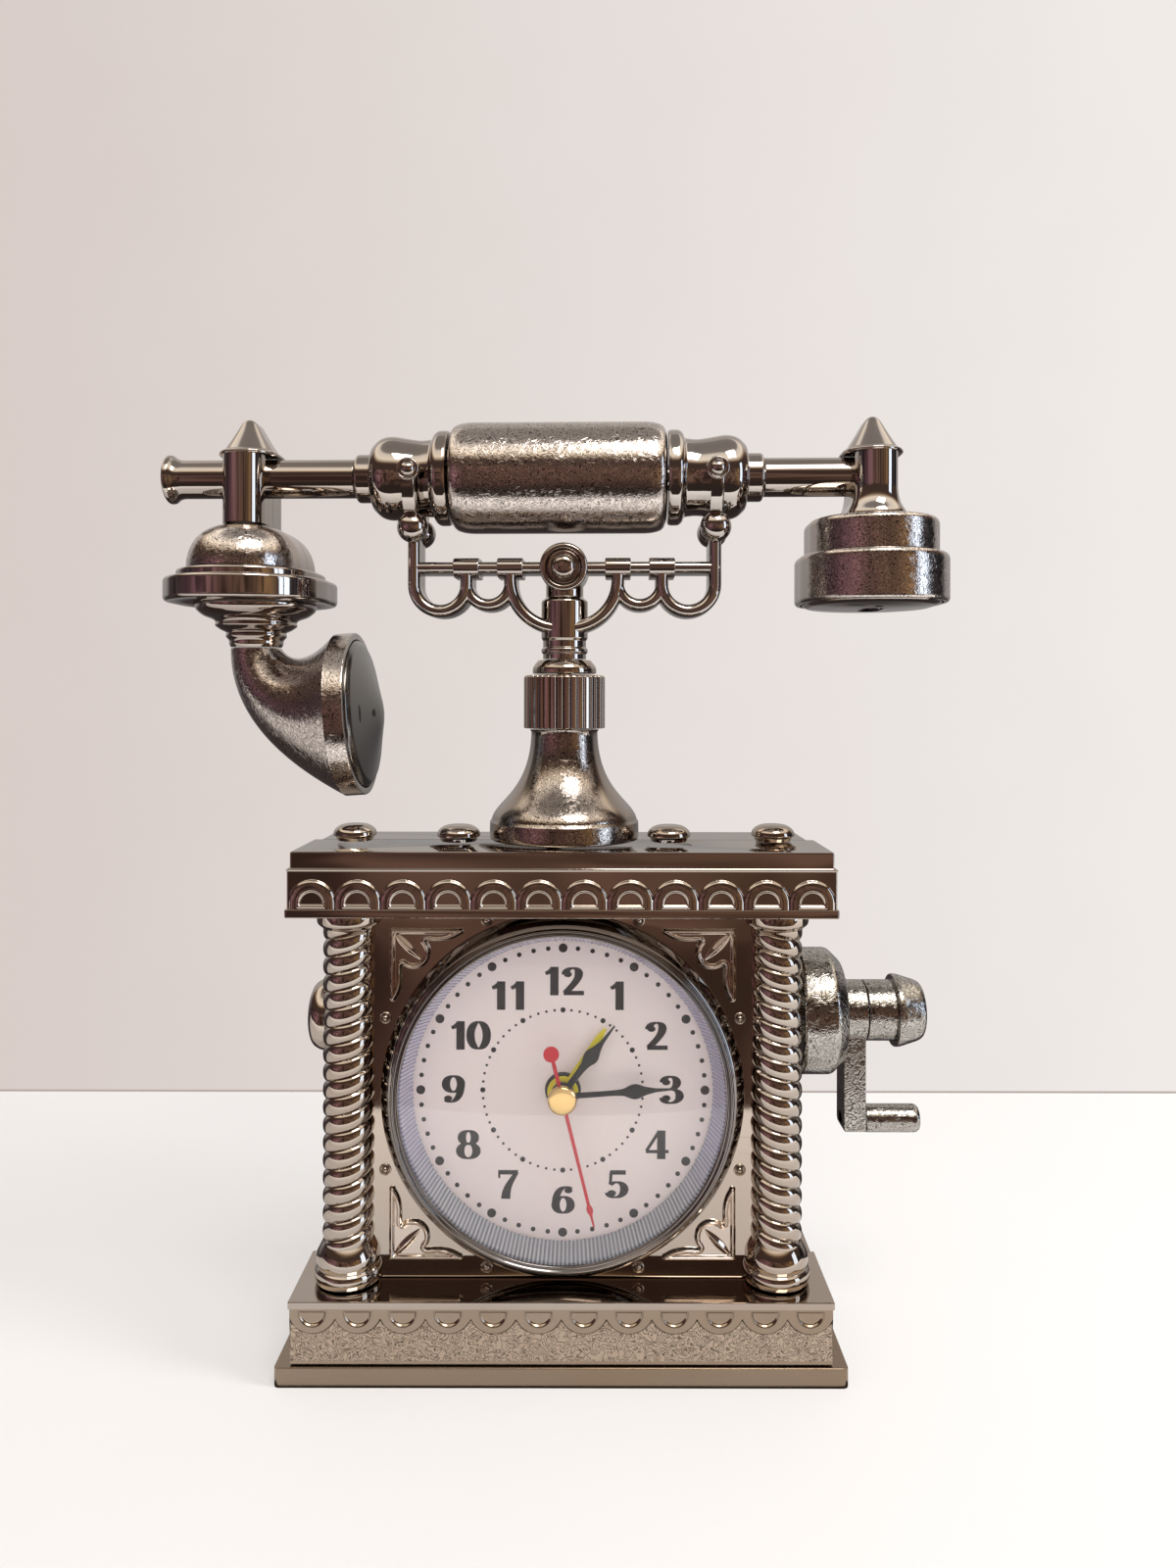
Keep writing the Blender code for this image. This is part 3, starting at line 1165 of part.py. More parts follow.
def cradle_paths(hand_side):
    """Centre lines of one side of the cradle: upright with its loop, second loop and sweep."""
    level = BOSS_Z
    outer_z = level - LOOP_OUTER * 0.65
    upright = UPRIGHT_X
    first = upright - LOOP_OUTER
    joint = upright - 2 * LOOP_OUTER
    inner_z = level - LOOP_INNER * 0.7
    second = joint - LOOP_INNER
    end = joint - 2 * LOOP_INNER
    one = [(upright, level + PRONG_BALL_Z)] + arc((first, outer_z), LOOP_OUTER, 0.0, -180.0, 6)
    one.append((joint, level))
    two = [(joint, level)] + arc((second, inner_z), LOOP_INNER, 0.0, -180.0, 5) + [(end, level)]
    three = [(end, level)]
    three += arc((end - SWEEP_RADIUS, level - SWEEP_RADIUS * 0.25), SWEEP_RADIUS, 0.0, -84.0, 4)
    four = [(upright + BAR_WIDTH * 0.2, level), (BOSS_RADIUS * 0.5, level)]
    paths = [one, two, three, four]
    return [[(hand_side * x, z) for x, z in path] for path in paths], joint, end


def make_swivel():
    """Upright axis that the cradle and the handset turn about, as they stand in the photograph."""
    axis = bpy.data.objects.new("swivel_axis", None)
    bpy.context.collection.objects.link(axis)
    axis.location = (0.0, SEAM_Y, 0.0)
    axis.rotation_euler = (0.0, 0.0, math.radians(SWIVEL_TURN))
    return axis


def make_cradle_half(name, side, swivel):
    """Front (side -1) or rear (side 1) half of the cradle with its share of the post."""
    body = bmesh.new()
    low = NECK_BOTTOM
    ring = low + NECK_HEIGHT * 0.42
    band = NECK_RADIUS * 0.08
    turned(body, [(0.0, low), (NECK_RADIUS, low), (NECK_RADIUS, ring - band * 2),
                  (NECK_RADIUS + band, ring - band), (NECK_RADIUS + band, ring + band), (NECK_RADIUS, ring + band * 2),
                  (NECK_RADIUS, BLOCK_BOTTOM), (BLOCK_RADIUS, BLOCK_BOTTOM + band),
                  (BLOCK_RADIUS, BLOCK_TOP), (BLOCK_RADIUS * 0.8, BLOCK_TOP + band),
                  (BLOCK_RADIUS * 0.8, BOSS_Z), (0.0, BOSS_Z)], 16)
    half = finish(name, body, DARK_CHROME, parent=swivel)

    boss = bmesh.new()
    depth = BOSS_DEPTH
    dish = depth - 2 * BITE
    ball = [(BALL_STUD_RADIUS * math.cos(math.radians(angle)),
             dish + BALL_STUD_RADIUS * math.sin(math.radians(angle))) for angle in (0.0, 30.0, 60.0)]
    turned(boss, [(0.0, -BITE), (BOSS_RADIUS, -BITE), (BOSS_RADIUS, depth - BITE),
                  (BOSS_RADIUS * 0.9, depth), (BOSS_RADIUS * 0.75, depth),
                  (BALL_STUD_RADIUS + GAP, dish)] + ball + [(0.0, dish + BALL_STUD_RADIUS)], 16)
    face = Matrix.Rotation(-side * math.pi / 2, 3, "X")
    place = (0.0, 0.0, BOSS_Z)
    add(half, tool(name + "_boss", moved(boss, place, face), parent=swivel))

    count = 0
    deep = CRADLE_DEPTH / 2
    for hand_side in (-1, 1):
        paths, joint, end = cradle_paths(hand_side)
        for index, path in enumerate(paths):
            reach = deep - GAP * (index % 2)
            piece = bar(path, BAR_WIDTH - GAP * (index % 2), reach, side)
            add(half, tool(f"{name}_bar_{count}", piece, parent=swivel))
            count += 1
        extras = bmesh.new()
        for across in (joint, end):
            sleeve = bmesh.new()
            wide = COLLAR_WIDTH / 2
            tall = COLLAR_TALL / 2
            outline = [(-BITE * 2, -tall), (deep, -tall), (deep + BITE, -tall * 0.6),
                       (deep + BITE, tall * 0.6), (deep, tall), (-BITE * 2, tall)]
            prism(sleeve, [(side * out, up) for out, up in outline], -wide, wide, axis="X")
            append(extras, moved(sleeve, (hand_side * across, 0.0, BOSS_Z)))
        add(half, tool(f"{name}_sleeves_{count}", extras, parent=swivel))

        ball = bmesh.new()
        bmesh.ops.create_uvsphere(ball, u_segments=10, v_segments=6, radius=PRONG_BALL)
        spot = (hand_side * UPRIGHT_X, side * PRONG_BALL_Y, BOSS_Z + PRONG_BALL_Z)
        add(half, tool(f"{name}_ball_{count}", moved(ball, spot), parent=swivel))

        prong = bmesh.new()
        rings = []
        middle = END_BULGE + GAP + PRONG_THICK / 2
        section = ((-0.5, -0.5), (-0.5, 0.5), (0.3, 0.5), (0.5, 0.3), (0.5, -0.3), (0.3, -0.5))
        for angle in (26.0, 46.0, 66.0, 88.0):
            lean = math.radians(angle)
            ring = []
            for radial, along in section:
                radius = middle + radial * PRONG_THICK
                ring.append((hand_side * UPRIGHT_X + along * PRONG_WIDTH,
                             side * radius * math.sin(lean),
                             HANDSET_Z - radius * math.cos(lean)))
            rings.append(ring)
        loft(prong, rings)
        add(half, tool(f"{name}_prong_{count}", prong, parent=swivel))

        button = bmesh.new()
        low = middle - PRONG_THICK * 0.3
        high = middle + PRONG_THICK * 0.75
        turned(button, [(0.0, low), (PRONG_BUTTON, low), (PRONG_BUTTON, high),
                        (PRONG_BUTTON * 0.5, high + BITE), (0.0, high + BITE)], 10)
        spot = (hand_side * UPRIGHT_X, 0.0, HANDSET_Z)
        add(half, tool(f"{name}_button_{count}", moved(button, spot, face), parent=swivel))

    rest = bmesh.new()
    edge = BASE_WIDTH
    near = side * GAP / 2
    far = -side * edge
    block(rest, (-edge, min(near, far), 0.0), (edge, max(near, far), 2 * edge))
    cut(half, tool(name + "_rest", rest, parent=swivel))
    hole = bmesh.new()
    tip = NECK_BOTTOM + BOLT_REACH + GAP
    bore = BOLT_RADIUS + GAP
    turned(hole, [(0.0, tip), (bore, tip), (bore, NECK_BOTTOM - BITE), (0.0, NECK_BOTTOM - BITE)], 12)
    cut(half, tool(name + "_bore", hole, parent=swivel))


def make_handset(swivel):
    """Grip, turned ends and the two arms with their posts and finials."""
    place = (HANDSET_SHIFT, 0.0, HANDSET_Z)
    bore = SPIGOT_RADIUS + GAP
    round_off = GRIP_RADIUS * 0.12
    body = bmesh.new()
    turned(body, [(bore, -GRIP_HALF), (GRIP_RADIUS - 1.3 * round_off, -GRIP_HALF),
                  (GRIP_RADIUS - 0.4 * round_off, -GRIP_HALF + 0.5 * round_off),
                  (GRIP_RADIUS, -GRIP_HALF + 1.6 * round_off), (GRIP_RADIUS, GRIP_HALF - 1.6 * round_off),
                  (GRIP_RADIUS - 0.4 * round_off, GRIP_HALF - 0.5 * round_off),
                  (GRIP_RADIUS - 1.3 * round_off, GRIP_HALF), (bore, GRIP_HALF)], 20)
    finish("handset_grip", body, GRAINED_CHROME, place, ALONG_X, swivel)

    inner = GRIP_HALF + GAP
    ring = inner + END_LENGTH * 0.22
    waist = inner + END_LENGTH * 0.36
    bulge = inner + END_LENGTH * 0.76
    shoulder = inner + END_LENGTH
    neck = shoulder + END_NECK_LENGTH
    for name, side in (("handset_end_left", -1), ("handset_end_right", 1)):
        body = bmesh.new()
        profile = [(bore, inner), (END_RING, inner), (END_RING, ring), (END_WAIST * 1.06, ring + BITE * 2),
                   (END_WAIST, waist), (END_BULGE * 0.93, bulge - END_LENGTH * 0.22),
                   (END_BULGE, bulge), (END_BULGE * 0.93, bulge + END_LENGTH * 0.12),
                   (END_BULGE * 0.74, shoulder), (END_NECK, shoulder), (END_NECK, neck), (bore, neck)]
        turned(body, [(radius, side * along) for radius, along in profile], 20)
        finish(name, body, DARK_CHROME, place, ALONG_X, swivel)

    start = neck + GAP
    top = POST_RISE
    for name, side in (("arm_left", -1), ("arm_right", 1)):
        body = bmesh.new()
        profile = [(0.0, SPIGOT_END), (SPIGOT_RADIUS, SPIGOT_END), (SPIGOT_RADIUS, start),
                   (ROD_RADIUS, start)]
        if side < 0:
            flare = ROD_REACH - ROD_FLARE * 0.7
            profile += [(ROD_RADIUS, flare), (ROD_FLARE, ROD_REACH - BITE), (ROD_FLARE, ROD_REACH),
                        (0.0, ROD_REACH)]
        else:
            profile += [(ROD_RADIUS, POST_X), (0.0, POST_X)]
        turned(body, [(radius, side * along) for radius, along in profile], 16)
        arm = finish(name, body, DARK_CHROME, place, ALONG_X, swivel)
        post = bmesh.new()
        if side < 0:
            low = -DOME_TOP + GAP
            turned(post, [(0.0, top), (POST_RADIUS, top), (POST_RADIUS, low), (0.0, low)], 16, POST_STRETCH)
        else:
            low = -FLARE_TOP
            foot = low - FLARE_HEIGHT
            turned(post, [(0.0, top), (POST_RADIUS, top), (POST_RADIUS, low), (FLARE_RADIUS, foot + BITE),
                          (FLARE_RADIUS, foot), (0.0, foot)], 16, POST_STRETCH)
        across = HANDSET_SHIFT + side * POST_X
        add(arm, tool(name + "_post", moved(post, (across, 0.0, HANDSET_Z)), parent=swivel))

        body = bmesh.new()
        rim = FINIAL_RADIUS
        turned(body, [(0.0, 0.0), (rim * 0.93, 0.0), (rim, GAP * 2), (rim * 0.95, GAP * 4),
                      (rim * 0.18, FINIAL_HEIGHT * 0.95), (rim * 0.08, FINIAL_HEIGHT), (0.0, FINIAL_HEIGHT)],
               16, FINIAL_STRETCH)
        name = name.replace("arm", "finial")
        finish(name, body, DARK_CHROME, (across, 0.0, HANDSET_Z + top + GAP), parent=swivel)


def horn_rings():
    """Sections of the horn: each circle spans the outer and the inner edge curve."""
    top = HANDSET_Z - DOME_TOP - DOME_HEIGHT - DISC_STEP_HEIGHT - DISC_HEIGHT - BOWL_HEIGHT - 4 * GAP
    axis = HANDSET_SHIFT - POST_X + NECK_SHIFT
    mouth_x = axis + HORN_REACH
    mouth_z = top - HORN_FALL
    tilt = math.radians(HORN_TILT)
    rise = Vector((-math.sin(tilt), math.cos(tilt))) * HORN_MOUTH
    ahead = Vector((math.cos(tilt), math.sin(tilt)))
    mouth = Vector((mouth_x, mouth_z))
    low = mouth - rise
    high = mouth + rise
    outer = curve_through([(axis - BOWL_NECK, top), (axis - BOWL_NECK, top - BOWL_HEIGHT * 1.35),
                           (axis + BOWL_NECK * 0.5, top - HORN_FALL * 1.6), low], 9)
    inner = curve_through([(axis + BOWL_NECK, top), (axis + BOWL_NECK * 1.3, top - BOWL_NECK * 0.5),
                           (axis + BOWL_NECK * 2.2, top - BOWL_NECK * 0.7), high], 9)
    pairs = list(zip(outer, inner))
    band = ahead * HORN_BAND
    pairs.append((low + band, high + band))
    return pairs, ahead, mouth + band


def horn_ring(pair, shrink):
    """Circle across one pair of edge points, drawn in by the wall."""
    outer, inner = pair
    centre = (outer + inner) / 2
    across = (inner - outer) / 2
    radius = across.length - shrink
    across = across.normalized()
    ring = []
    for index in range(20):
        angle = math.tau * index / 20
        flat = centre + across * radius * math.cos(angle)
        ring.append((flat[0], radius * math.sin(angle), flat[1]))
    return ring


def make_transmitter(swivel):
    """Dome, disc, ringed neck, horn and mouthpiece below the left post."""
    place = (HANDSET_SHIFT - POST_X, 0.0, 0.0)
    high = HANDSET_Z - DOME_TOP
    low = high - DOME_HEIGHT
    body = bmesh.new()
    crown = curve_through([(POST_RADIUS, high), (DOME_RADIUS * 0.9, high - DOME_HEIGHT * 0.12),
                           (DOME_RADIUS, low + DOME_HEIGHT * 0.3), (DOME_RADIUS, low)], 6)
    turned(body, [(0.0, high)] + [tuple(spot) for spot in crown] + [(0.0, low)], 20, DOME_STRETCH)
    finish("transmitter_dome", body, GRAINED_CHROME, place, parent=swivel)

    step = low - GAP
    under = step - DISC_STEP_HEIGHT
    bottom = under - DISC_HEIGHT
    body = bmesh.new()
    edge = BITE * 1.2
    turned(body, [(0.0, step), (DISC_STEP - edge, step), (DISC_STEP, step - edge), (DISC_STEP, under),
                  (DISC_RADIUS - edge, under), (DISC_RADIUS, under - edge), (DISC_RADIUS, bottom + edge),
                  (DISC_RADIUS - edge, bottom), (0.0, bottom)], 24, DISC_STRETCH)
    finish("transmitter_disc", body, DARK_CHROME, place, parent=swivel)

    top = bottom - GAP
    foot = top - BOWL_HEIGHT
    body = bmesh.new()
    bowl = [(BOWL_RADIUS, top - BITE), (BOWL_RADIUS * 0.97, top - BOWL_HEIGHT * 0.13),
            (BOWL_RADIUS * 0.84, top - BOWL_HEIGHT * 0.26), (BOWL_RADIUS * 0.70, top - BOWL_HEIGHT * 0.34)]
    steps = [(0.66, 0.36), (0.67, 0.47), (0.56, 0.61), (0.48, 0.64), (0.50, 0.75), (0.44, 0.84),
             (0.44, 0.93)]
    neck = [(BOWL_RADIUS * share, top - BOWL_HEIGHT * drop) for share, drop in steps]
    turned(body, [(0.0, top), (BOWL_RADIUS, top)] + bowl + neck + [(BOWL_NECK, foot), (0.0, foot)], 20)
    finish("transmitter_neck", body, DARK_CHROME, (place[0] + NECK_SHIFT, 0.0, 0.0), parent=swivel)

    body = bmesh.new()
    pairs, ahead, mouth = horn_rings()
    rings = [horn_ring(pair, 0.0) for pair in pairs]
    inside = [horn_ring(pair, HORN_WALL) for pair in (pairs[-1], pairs[-2], pairs[-4], pairs[-6])]
    loft(body, rings + inside)
    finish("transmitter_horn", body, GRAINED_CHROME, parent=swivel)

    body = bmesh.new()
    rim = HORN_MOUTH - HORN_WALL - GAP
    sink = HORN_BAND * 0.45
    face = [(rim, -sink), (rim, BITE), (rim * 0.93, BITE * 2), (rim * 0.75, MOUTH_CROWN * 0.42),
            (rim * 0.5, MOUTH_CROWN * 0.76), (rim * 0.2, MOUTH_CROWN * 0.97)]
    turned(body, [(0.0, -sink)] + face + [(0.0, MOUTH_CROWN)], 20)
    turn = (0.0, math.pi / 2 - math.radians(HORN_TILT), 0.0)
    finish("mouthpiece_cap", body, DARK_CHROME, (mouth[0], 0.0, mouth[1]), turn, swivel)


def make_receiver(swivel):
    """Two stepped cups and the closing cap below the right post."""
    place = (HANDSET_SHIFT + POST_X, 0.0, 0.0)
    high = HANDSET_Z - FLARE_TOP - FLARE_HEIGHT - GAP
    low = high - UPPER_CUP_HEIGHT
    edge = BITE * 1.6
    body = bmesh.new()
    turned(body, [(0.0, high), (UPPER_CUP - edge, high), (UPPER_CUP, high - edge), (UPPER_CUP, low),
                  (0.0, low)], 20, CUP_STRETCH)
    finish("receiver_upper_cup", body, GRAINED_CHROME, place, parent=swivel)

    top = low - GAP
    foot = top - LOWER_CUP_HEIGHT
    body = bmesh.new()
    inside = LOWER_CUP - CUP_WALL
    turned(body, [(0.0, top), (LOWER_CUP - edge, top), (LOWER_CUP, top - edge), (LOWER_CUP, foot),
                  (inside, foot), (inside, top - CUP_WALL), (0.0, top - CUP_WALL)], 20, CUP_STRETCH)
    finish("receiver_lower_cup", body, GRAINED_CHROME, place, parent=swivel)

    body = bmesh.new()
    rim = inside - GAP
    shelf = foot + CUP_WALL
    turned(body, [(0.0, shelf), (rim, shelf), (rim, foot - GAP), (rim * 0.92, foot - BITE),
                  (rim * 0.5, foot - CUP_FLOOR_CROWN * 0.8), (rim * 0.1, foot - CUP_FLOOR_CROWN),
                  (0.0, foot - CUP_FLOOR_CROWN)], 20, CUP_STRETCH)
    finish("receiver_cap", body, DARK_CHROME, place, parent=swivel)


def make_side_pieces():
    """Boss on the left wall, and hub and crank on the right wall."""
    start = CASE_HALF + GAP
    inside = CASE_HALF - PLATE_WALL - BITE
    disc = start + SIDE_NECK_LENGTH
    left = (0.0, SIDE_AXIS_Y, SIDE_AXIS_Z)
    body = bmesh.new()
    out = disc + BOSS_REACH
    neck = SIDE_NECK * 0.8
    profile = [(0.0, inside), (SIDE_SPIGOT, inside), (SIDE_SPIGOT, start), (neck, start), (neck, disc),
               (BOSS_DISC, disc), (BOSS_DISC, disc + BOSS_REACH * 0.45),
               (BOSS_DISC * 0.88, disc + BOSS_REACH * 0.8), (BOSS_DISC * 0.62, out), (0.0, out)]
    turned(body, [(radius, -along) for radius, along in profile], 20)
    finish("side_boss", body, DARK_CHROME, (0.0, SIDE_AXIS_Y, SIDE_BOSS_Z), ALONG_X)

    body = bmesh.new()
    end = disc + HUB_LENGTH
    bore = SIDE_SPIGOT - TUBE_WALL * 2
    turned(body, [(bore, inside), (SIDE_SPIGOT, inside), (SIDE_SPIGOT, start), (SIDE_NECK, start),
                  (SIDE_NECK, disc), (HUB_RADIUS * 0.95, disc), (HUB_RADIUS, disc + BITE),
                  (HUB_RADIUS, end - HUB_CHAMFER), (HUB_RADIUS - HUB_CHAMFER, end), (bore, end)], 20)
    finish("crank_hub", body, GRAINED_CHROME, left, ALONG_X)

    arm_in = end + GAP
    arm_out = arm_in + ARM_THICK
    body = bmesh.new()
    eye = arc((0.0, 0.0), CRANK_DRUM, -54.0, 234.0, 14)
    half = ARM_WIDTH / 2
    foot = ARM_DROP + half * 0.5
    tail = [(-half, -foot + GAP * 2), (-half + GAP * 2, -foot), (half - GAP * 2, -foot),
            (half, -foot + GAP * 2)]
    prism(body, eye + tail, arm_in, arm_out, axis="X")
    arm = finish("crank_arm", body, GRAINED_CHROME, left)
    holes = bmesh.new()
    for drop in (0.0, ARM_DROP):
        hole = bmesh.new()
        radius = (bore if drop == 0.0 else PEG_PIN + GAP)
        turned(hole, [(0.0, arm_in - BITE), (radius, arm_in - BITE), (radius, arm_out + BITE),
                      (0.0, arm_out + BITE)], 12)
        append(holes, moved(hole, (0.0, 0.0, -drop), Matrix.Rotation(math.pi / 2, 3, "Y")))
    cut(arm, tool("arm_holes", holes, left))

    body = bmesh.new()
    shaft = bore - GAP
    drum = arm_out + GAP
    collar = drum + DRUM_LENGTH
    tip = collar + CRANK_KNOB_LENGTH
    turned(body, [(0.0, start), (shaft, start), (shaft, drum), (CRANK_DRUM, drum), (CRANK_DRUM, collar),
                  (KNOB_BASE, collar), (KNOB_BASE, collar + CRANK_KNOB_LENGTH * 0.24),
                  (KNOB_BASE * 0.98, collar + CRANK_KNOB_LENGTH * 0.3), (KNOB_TIP, tip - BITE),
                  (KNOB_TIP * 0.9, tip), (0.0, tip)], 20)
    finish("crank_shaft", body, GRAINED_CHROME, left, ALONG_X)

    body = bmesh.new()
    reach = drum + PEG_LENGTH
    turned(body, [(0.0, arm_in), (PEG_PIN, arm_in), (PEG_PIN, drum), (PEG_RADIUS, drum),
                  (PEG_RADIUS, reach - BITE), (PEG_RADIUS * 0.85, reach), (0.0, reach)], 16)
    finish("crank_peg", body, GRAINED_CHROME, (0.0, SIDE_AXIS_Y, SIDE_AXIS_Z - ARM_DROP), ALONG_X)


def main():
    """Remove what the file starts with, then make every piece."""
    for old in list(bpy.data.objects):
        bpy.data.objects.remove(old, do_unlink=True)
    make_base_plate()
    make_base_screws()
    bores = shell_tools()
    make_front_shell(bores)
    make_rear_shell(bores)
    make_columns()
    make_studs()
    make_clock_face()
    make_hands()
    make_wheels()
    make_movement()
    make_stem()
    swivel = make_swivel()
    make_cradle_half("cradle_front", -1, swivel)
    make_cradle_half("cradle_rear", 1, swivel)
    make_handset(swivel)
    make_transmitter(swivel)
    make_receiver(swivel)
    make_side_pieces()


main()
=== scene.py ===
"""Telephone clock: the finished surfaces of its pieces, their finishes, and the table that it stands on.

Shapes are worked out in millimetres, and put into the meshes in metres.
"""

import math

import bmesh
import bpy
import numpy as np
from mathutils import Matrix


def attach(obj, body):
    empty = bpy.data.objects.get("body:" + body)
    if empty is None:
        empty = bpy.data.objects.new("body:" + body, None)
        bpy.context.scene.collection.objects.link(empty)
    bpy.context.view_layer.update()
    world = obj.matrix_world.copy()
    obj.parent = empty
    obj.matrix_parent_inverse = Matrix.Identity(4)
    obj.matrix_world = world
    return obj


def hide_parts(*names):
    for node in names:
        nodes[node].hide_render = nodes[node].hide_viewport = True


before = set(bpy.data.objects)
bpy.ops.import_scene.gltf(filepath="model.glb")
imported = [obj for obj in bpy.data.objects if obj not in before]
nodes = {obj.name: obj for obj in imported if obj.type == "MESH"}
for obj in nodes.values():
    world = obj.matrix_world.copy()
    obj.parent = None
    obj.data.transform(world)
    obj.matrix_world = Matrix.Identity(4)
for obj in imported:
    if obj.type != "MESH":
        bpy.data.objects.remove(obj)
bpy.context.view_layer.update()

# Sizes of the clock, in millimetres
MM = 0.001  # one of them in metres
GAP = 0.3  # between two mouldings that meet on the seam plane
SEAM = 3.0  # depth of the seam plane behind the middle
SHELL = 2.0  # thickness of a moulding
DIAL = 61.6  # height of the dial's middle
BASE = (63.8, 20.4, 4.5)  # half width, half depth, height
PLINTH = (60.3, 19.5, 4.8, 19.1)  # half width, half depth, bottom, top
LIP = 17.4  # underside of the plinth's lip
BAYS = 12  # scallops in the apron, and arches in the cornice
CASE = 52.0  # half width of the panels
PANEL = 9.8  # how far the front panel stands ahead of the middle
REAR = 19.0  # how far the rear panel stands behind it
BAND = 104.1  # underside of the cornice
FASCIA = 106.0  # foot of the arches
SLAB = 114.9  # head of the arches
TOP = 118.7  # top of the cornice
ARCADE = 60.6  # half width of the row of arches
COLUMN = (49.3, -10.0, 5.85)  # across, along, radius
ROPE = (28.3, 100.5, 4.05)  # bottom, top, height from strand to strand
FLUTES = 240  # round the clear ring
BEADS = 132  # round its foot
FIGURE_RING = 25.4  # radius of the ring of numerals
FIGURE_TALL = 6.7
DOTS = ((33.1, 1.05, 0.55), (18.65, 0.6, 0.3))  # radius of the ring, of every fifth dot, of the others
BOSS = 184.2  # height of the cradle's boss and bars
SCROLL = (36.0, 6.3, 5.25, 11.5)  # outer upright, then radius of the first, second and last bend
UPRIGHT = 9.4  # from the bars to the ball on the outer upright
SWIVEL = math.radians(-1.7)  # how the cradle stands about the stem
HANDSET = 206.2  # height of the grip's axis
SHIFT = -1.4  # middle of the handset, to the side
POST = 74.9  # from there to each post
HORN_TILT = math.radians(4.0)
MUZZLE_RIM = 17.8
SIDE_AXIS = (0.0, 3.5, 76.3)
CRANK_AXIS = (0.0, 3.5, 77.5)
PEG_AXIS = (0.0, 3.5, 51.3)
TIME_KNOB = (9.26, 0.0, 70.86)
ALARM_KNOB = (-9.76, 0.0, 71.36)


# Curves and surfaces
def rounded(corners, steps=6):
    """Line through corners (a, b, r), each cut off r before and after it and joined by a quadratic curve."""
    spot = np.asarray(corners, float)
    place, cut = spot[:, :2], spot[:, 2:]
    back = np.vstack([place[:1], place[:-1]]) - place
    ahead = np.vstack([place[1:], place[-1:]]) - place
    long_back = np.maximum(np.linalg.norm(back, axis=1, keepdims=True), 1e-9)
    long_ahead = np.maximum(np.linalg.norm(ahead, axis=1, keepdims=True), 1e-9)
    start = (place + back / long_back * np.minimum(cut, long_back / 2))[:, None]
    end = (place + ahead / long_ahead * np.minimum(cut, long_ahead / 2))[:, None]
    t = np.linspace(0.0, 1.0, steps)[None, :, None]
    bend = (1 - t) ** 2 * start + 2 * t * (1 - t) * place[:, None] + t ** 2 * end
    return bend.reshape(-1, 2)


def curve(controls, steps=24):
    """Bezier curve: the sum of each control point times C(n, i) t^i (1 - t)^(n - i)."""
    spot = np.asarray(controls, float)
    order = len(spot) - 1
    t = np.linspace(0.0, 1.0, steps)[:, None]
    i = np.arange(order + 1)[None]
    share = np.array([math.comb(order, k) for k in range(order + 1)])
    return (share * t ** i * (1 - t) ** (order - i)) @ spot


def arc(centre, radius, start=0.0, end=360.0, steps=16):
    """Points centre + radius (cos a, sin a), a from start to end in degrees; a pair of radii gives an oval."""
    a = np.radians(np.linspace(start, end, steps))
    return centre + np.broadcast_to(radius, 2) * np.stack([np.cos(a), np.sin(a)], -1)


def heading(path):
    """Unit direction in which a path runs, at each of its points."""
    run = np.gradient(path, axis=0)
    return run / np.maximum(np.linalg.norm(run, axis=1, keepdims=True), 1e-9)


def step(value, low, high):
    """Smooth rise from 0 at low to 1 at high: 3 t^2 - 2 t^3."""
    t = np.clip((value - low) / (high - low), 0.0, 1.0)
    return t * t * (3 - 2 * t)


def round_angles(count):
    """Angles of one full turn, as one row."""
    return np.linspace(0.0, 2 * math.pi, count + 1)[None, :-1]


def turned(profile, steps=96, stretch=0.0):
    """Profile (r, h) spun about Z: (r cos t, r sin t, h), its front and rear half each set out by stretch."""
    profile = np.asarray(profile, float)
    half = np.linspace(0.0, math.pi, steps // 2 + 1)
    t = np.concatenate([half, half + math.pi])
    shift = np.repeat([stretch, -stretch], len(half))
    r, h = profile[:, :1], profile[:, 1:]
    return np.stack([r * np.cos(t), r * np.sin(t) + shift, h + 0 * t], -1)


def capped(points):
    """Stack of loops with one more row at each end, drawn in to the middle of that end loop."""
    first = np.repeat(points[:1].mean(1, keepdims=True), points.shape[1], 1)
    last = np.repeat(points[-1:].mean(1, keepdims=True), points.shape[1], 1)
    return np.concatenate([first, points, last])


def spun(profile, steps=96, stretch=0.0):
    """Turned profile with both its ends closed."""
    return capped(turned(profile, steps, stretch))


def towards_front(points, centre=(0.0, 0.0, DIAL)):
    """Spun about Z before, about a front-to-back line through the centre now: (x, y, z) becomes (x, -z, y)."""
    return np.stack([points[..., 0], -points[..., 2], points[..., 1]], -1) + centre


def along_x(points, centre):
    """Spun about Z before, about a left-to-right line through the centre now: (x, y, z) becomes (z, y, -x)."""
    return np.stack([points[..., 2], points[..., 1], -points[..., 0]], -1) + centre


def swivelled(points):
    """Turned about the stem as the cradle stands: (x c - y s, x s + y c), then moved back to the seam plane."""
    c, s = math.cos(SWIVEL), math.sin(SWIVEL)
    x, y, z = points[..., 0], points[..., 1], points[..., 2]
    return np.stack([x * c - y * s, x * s + y * c + SEAM, z], -1)


def lozenge(section, low, high, soft, steps=4):
    """Section (a, b) carried from low to high, its end loops drawn in along a quarter round of radius soft."""
    section = np.asarray(section, float)
    middle = section.mean(0)
    reach = np.abs(section - middle).max()
    q = np.linspace(0.0, math.pi / 2, steps)
    along = np.concatenate([low + soft * (1 - np.cos(q)), high - soft * (1 - np.cos(q[::-1]))])
    size = np.concatenate([1 - soft / reach * (1 - np.sin(q)), 1 - soft / reach * (1 - np.sin(q[::-1]))])
    flat = middle + (section - middle) * size[:, None, None]
    return capped(np.concatenate([flat, np.broadcast_to(along[:, None, None], flat.shape[:2] + (1,))], -1))


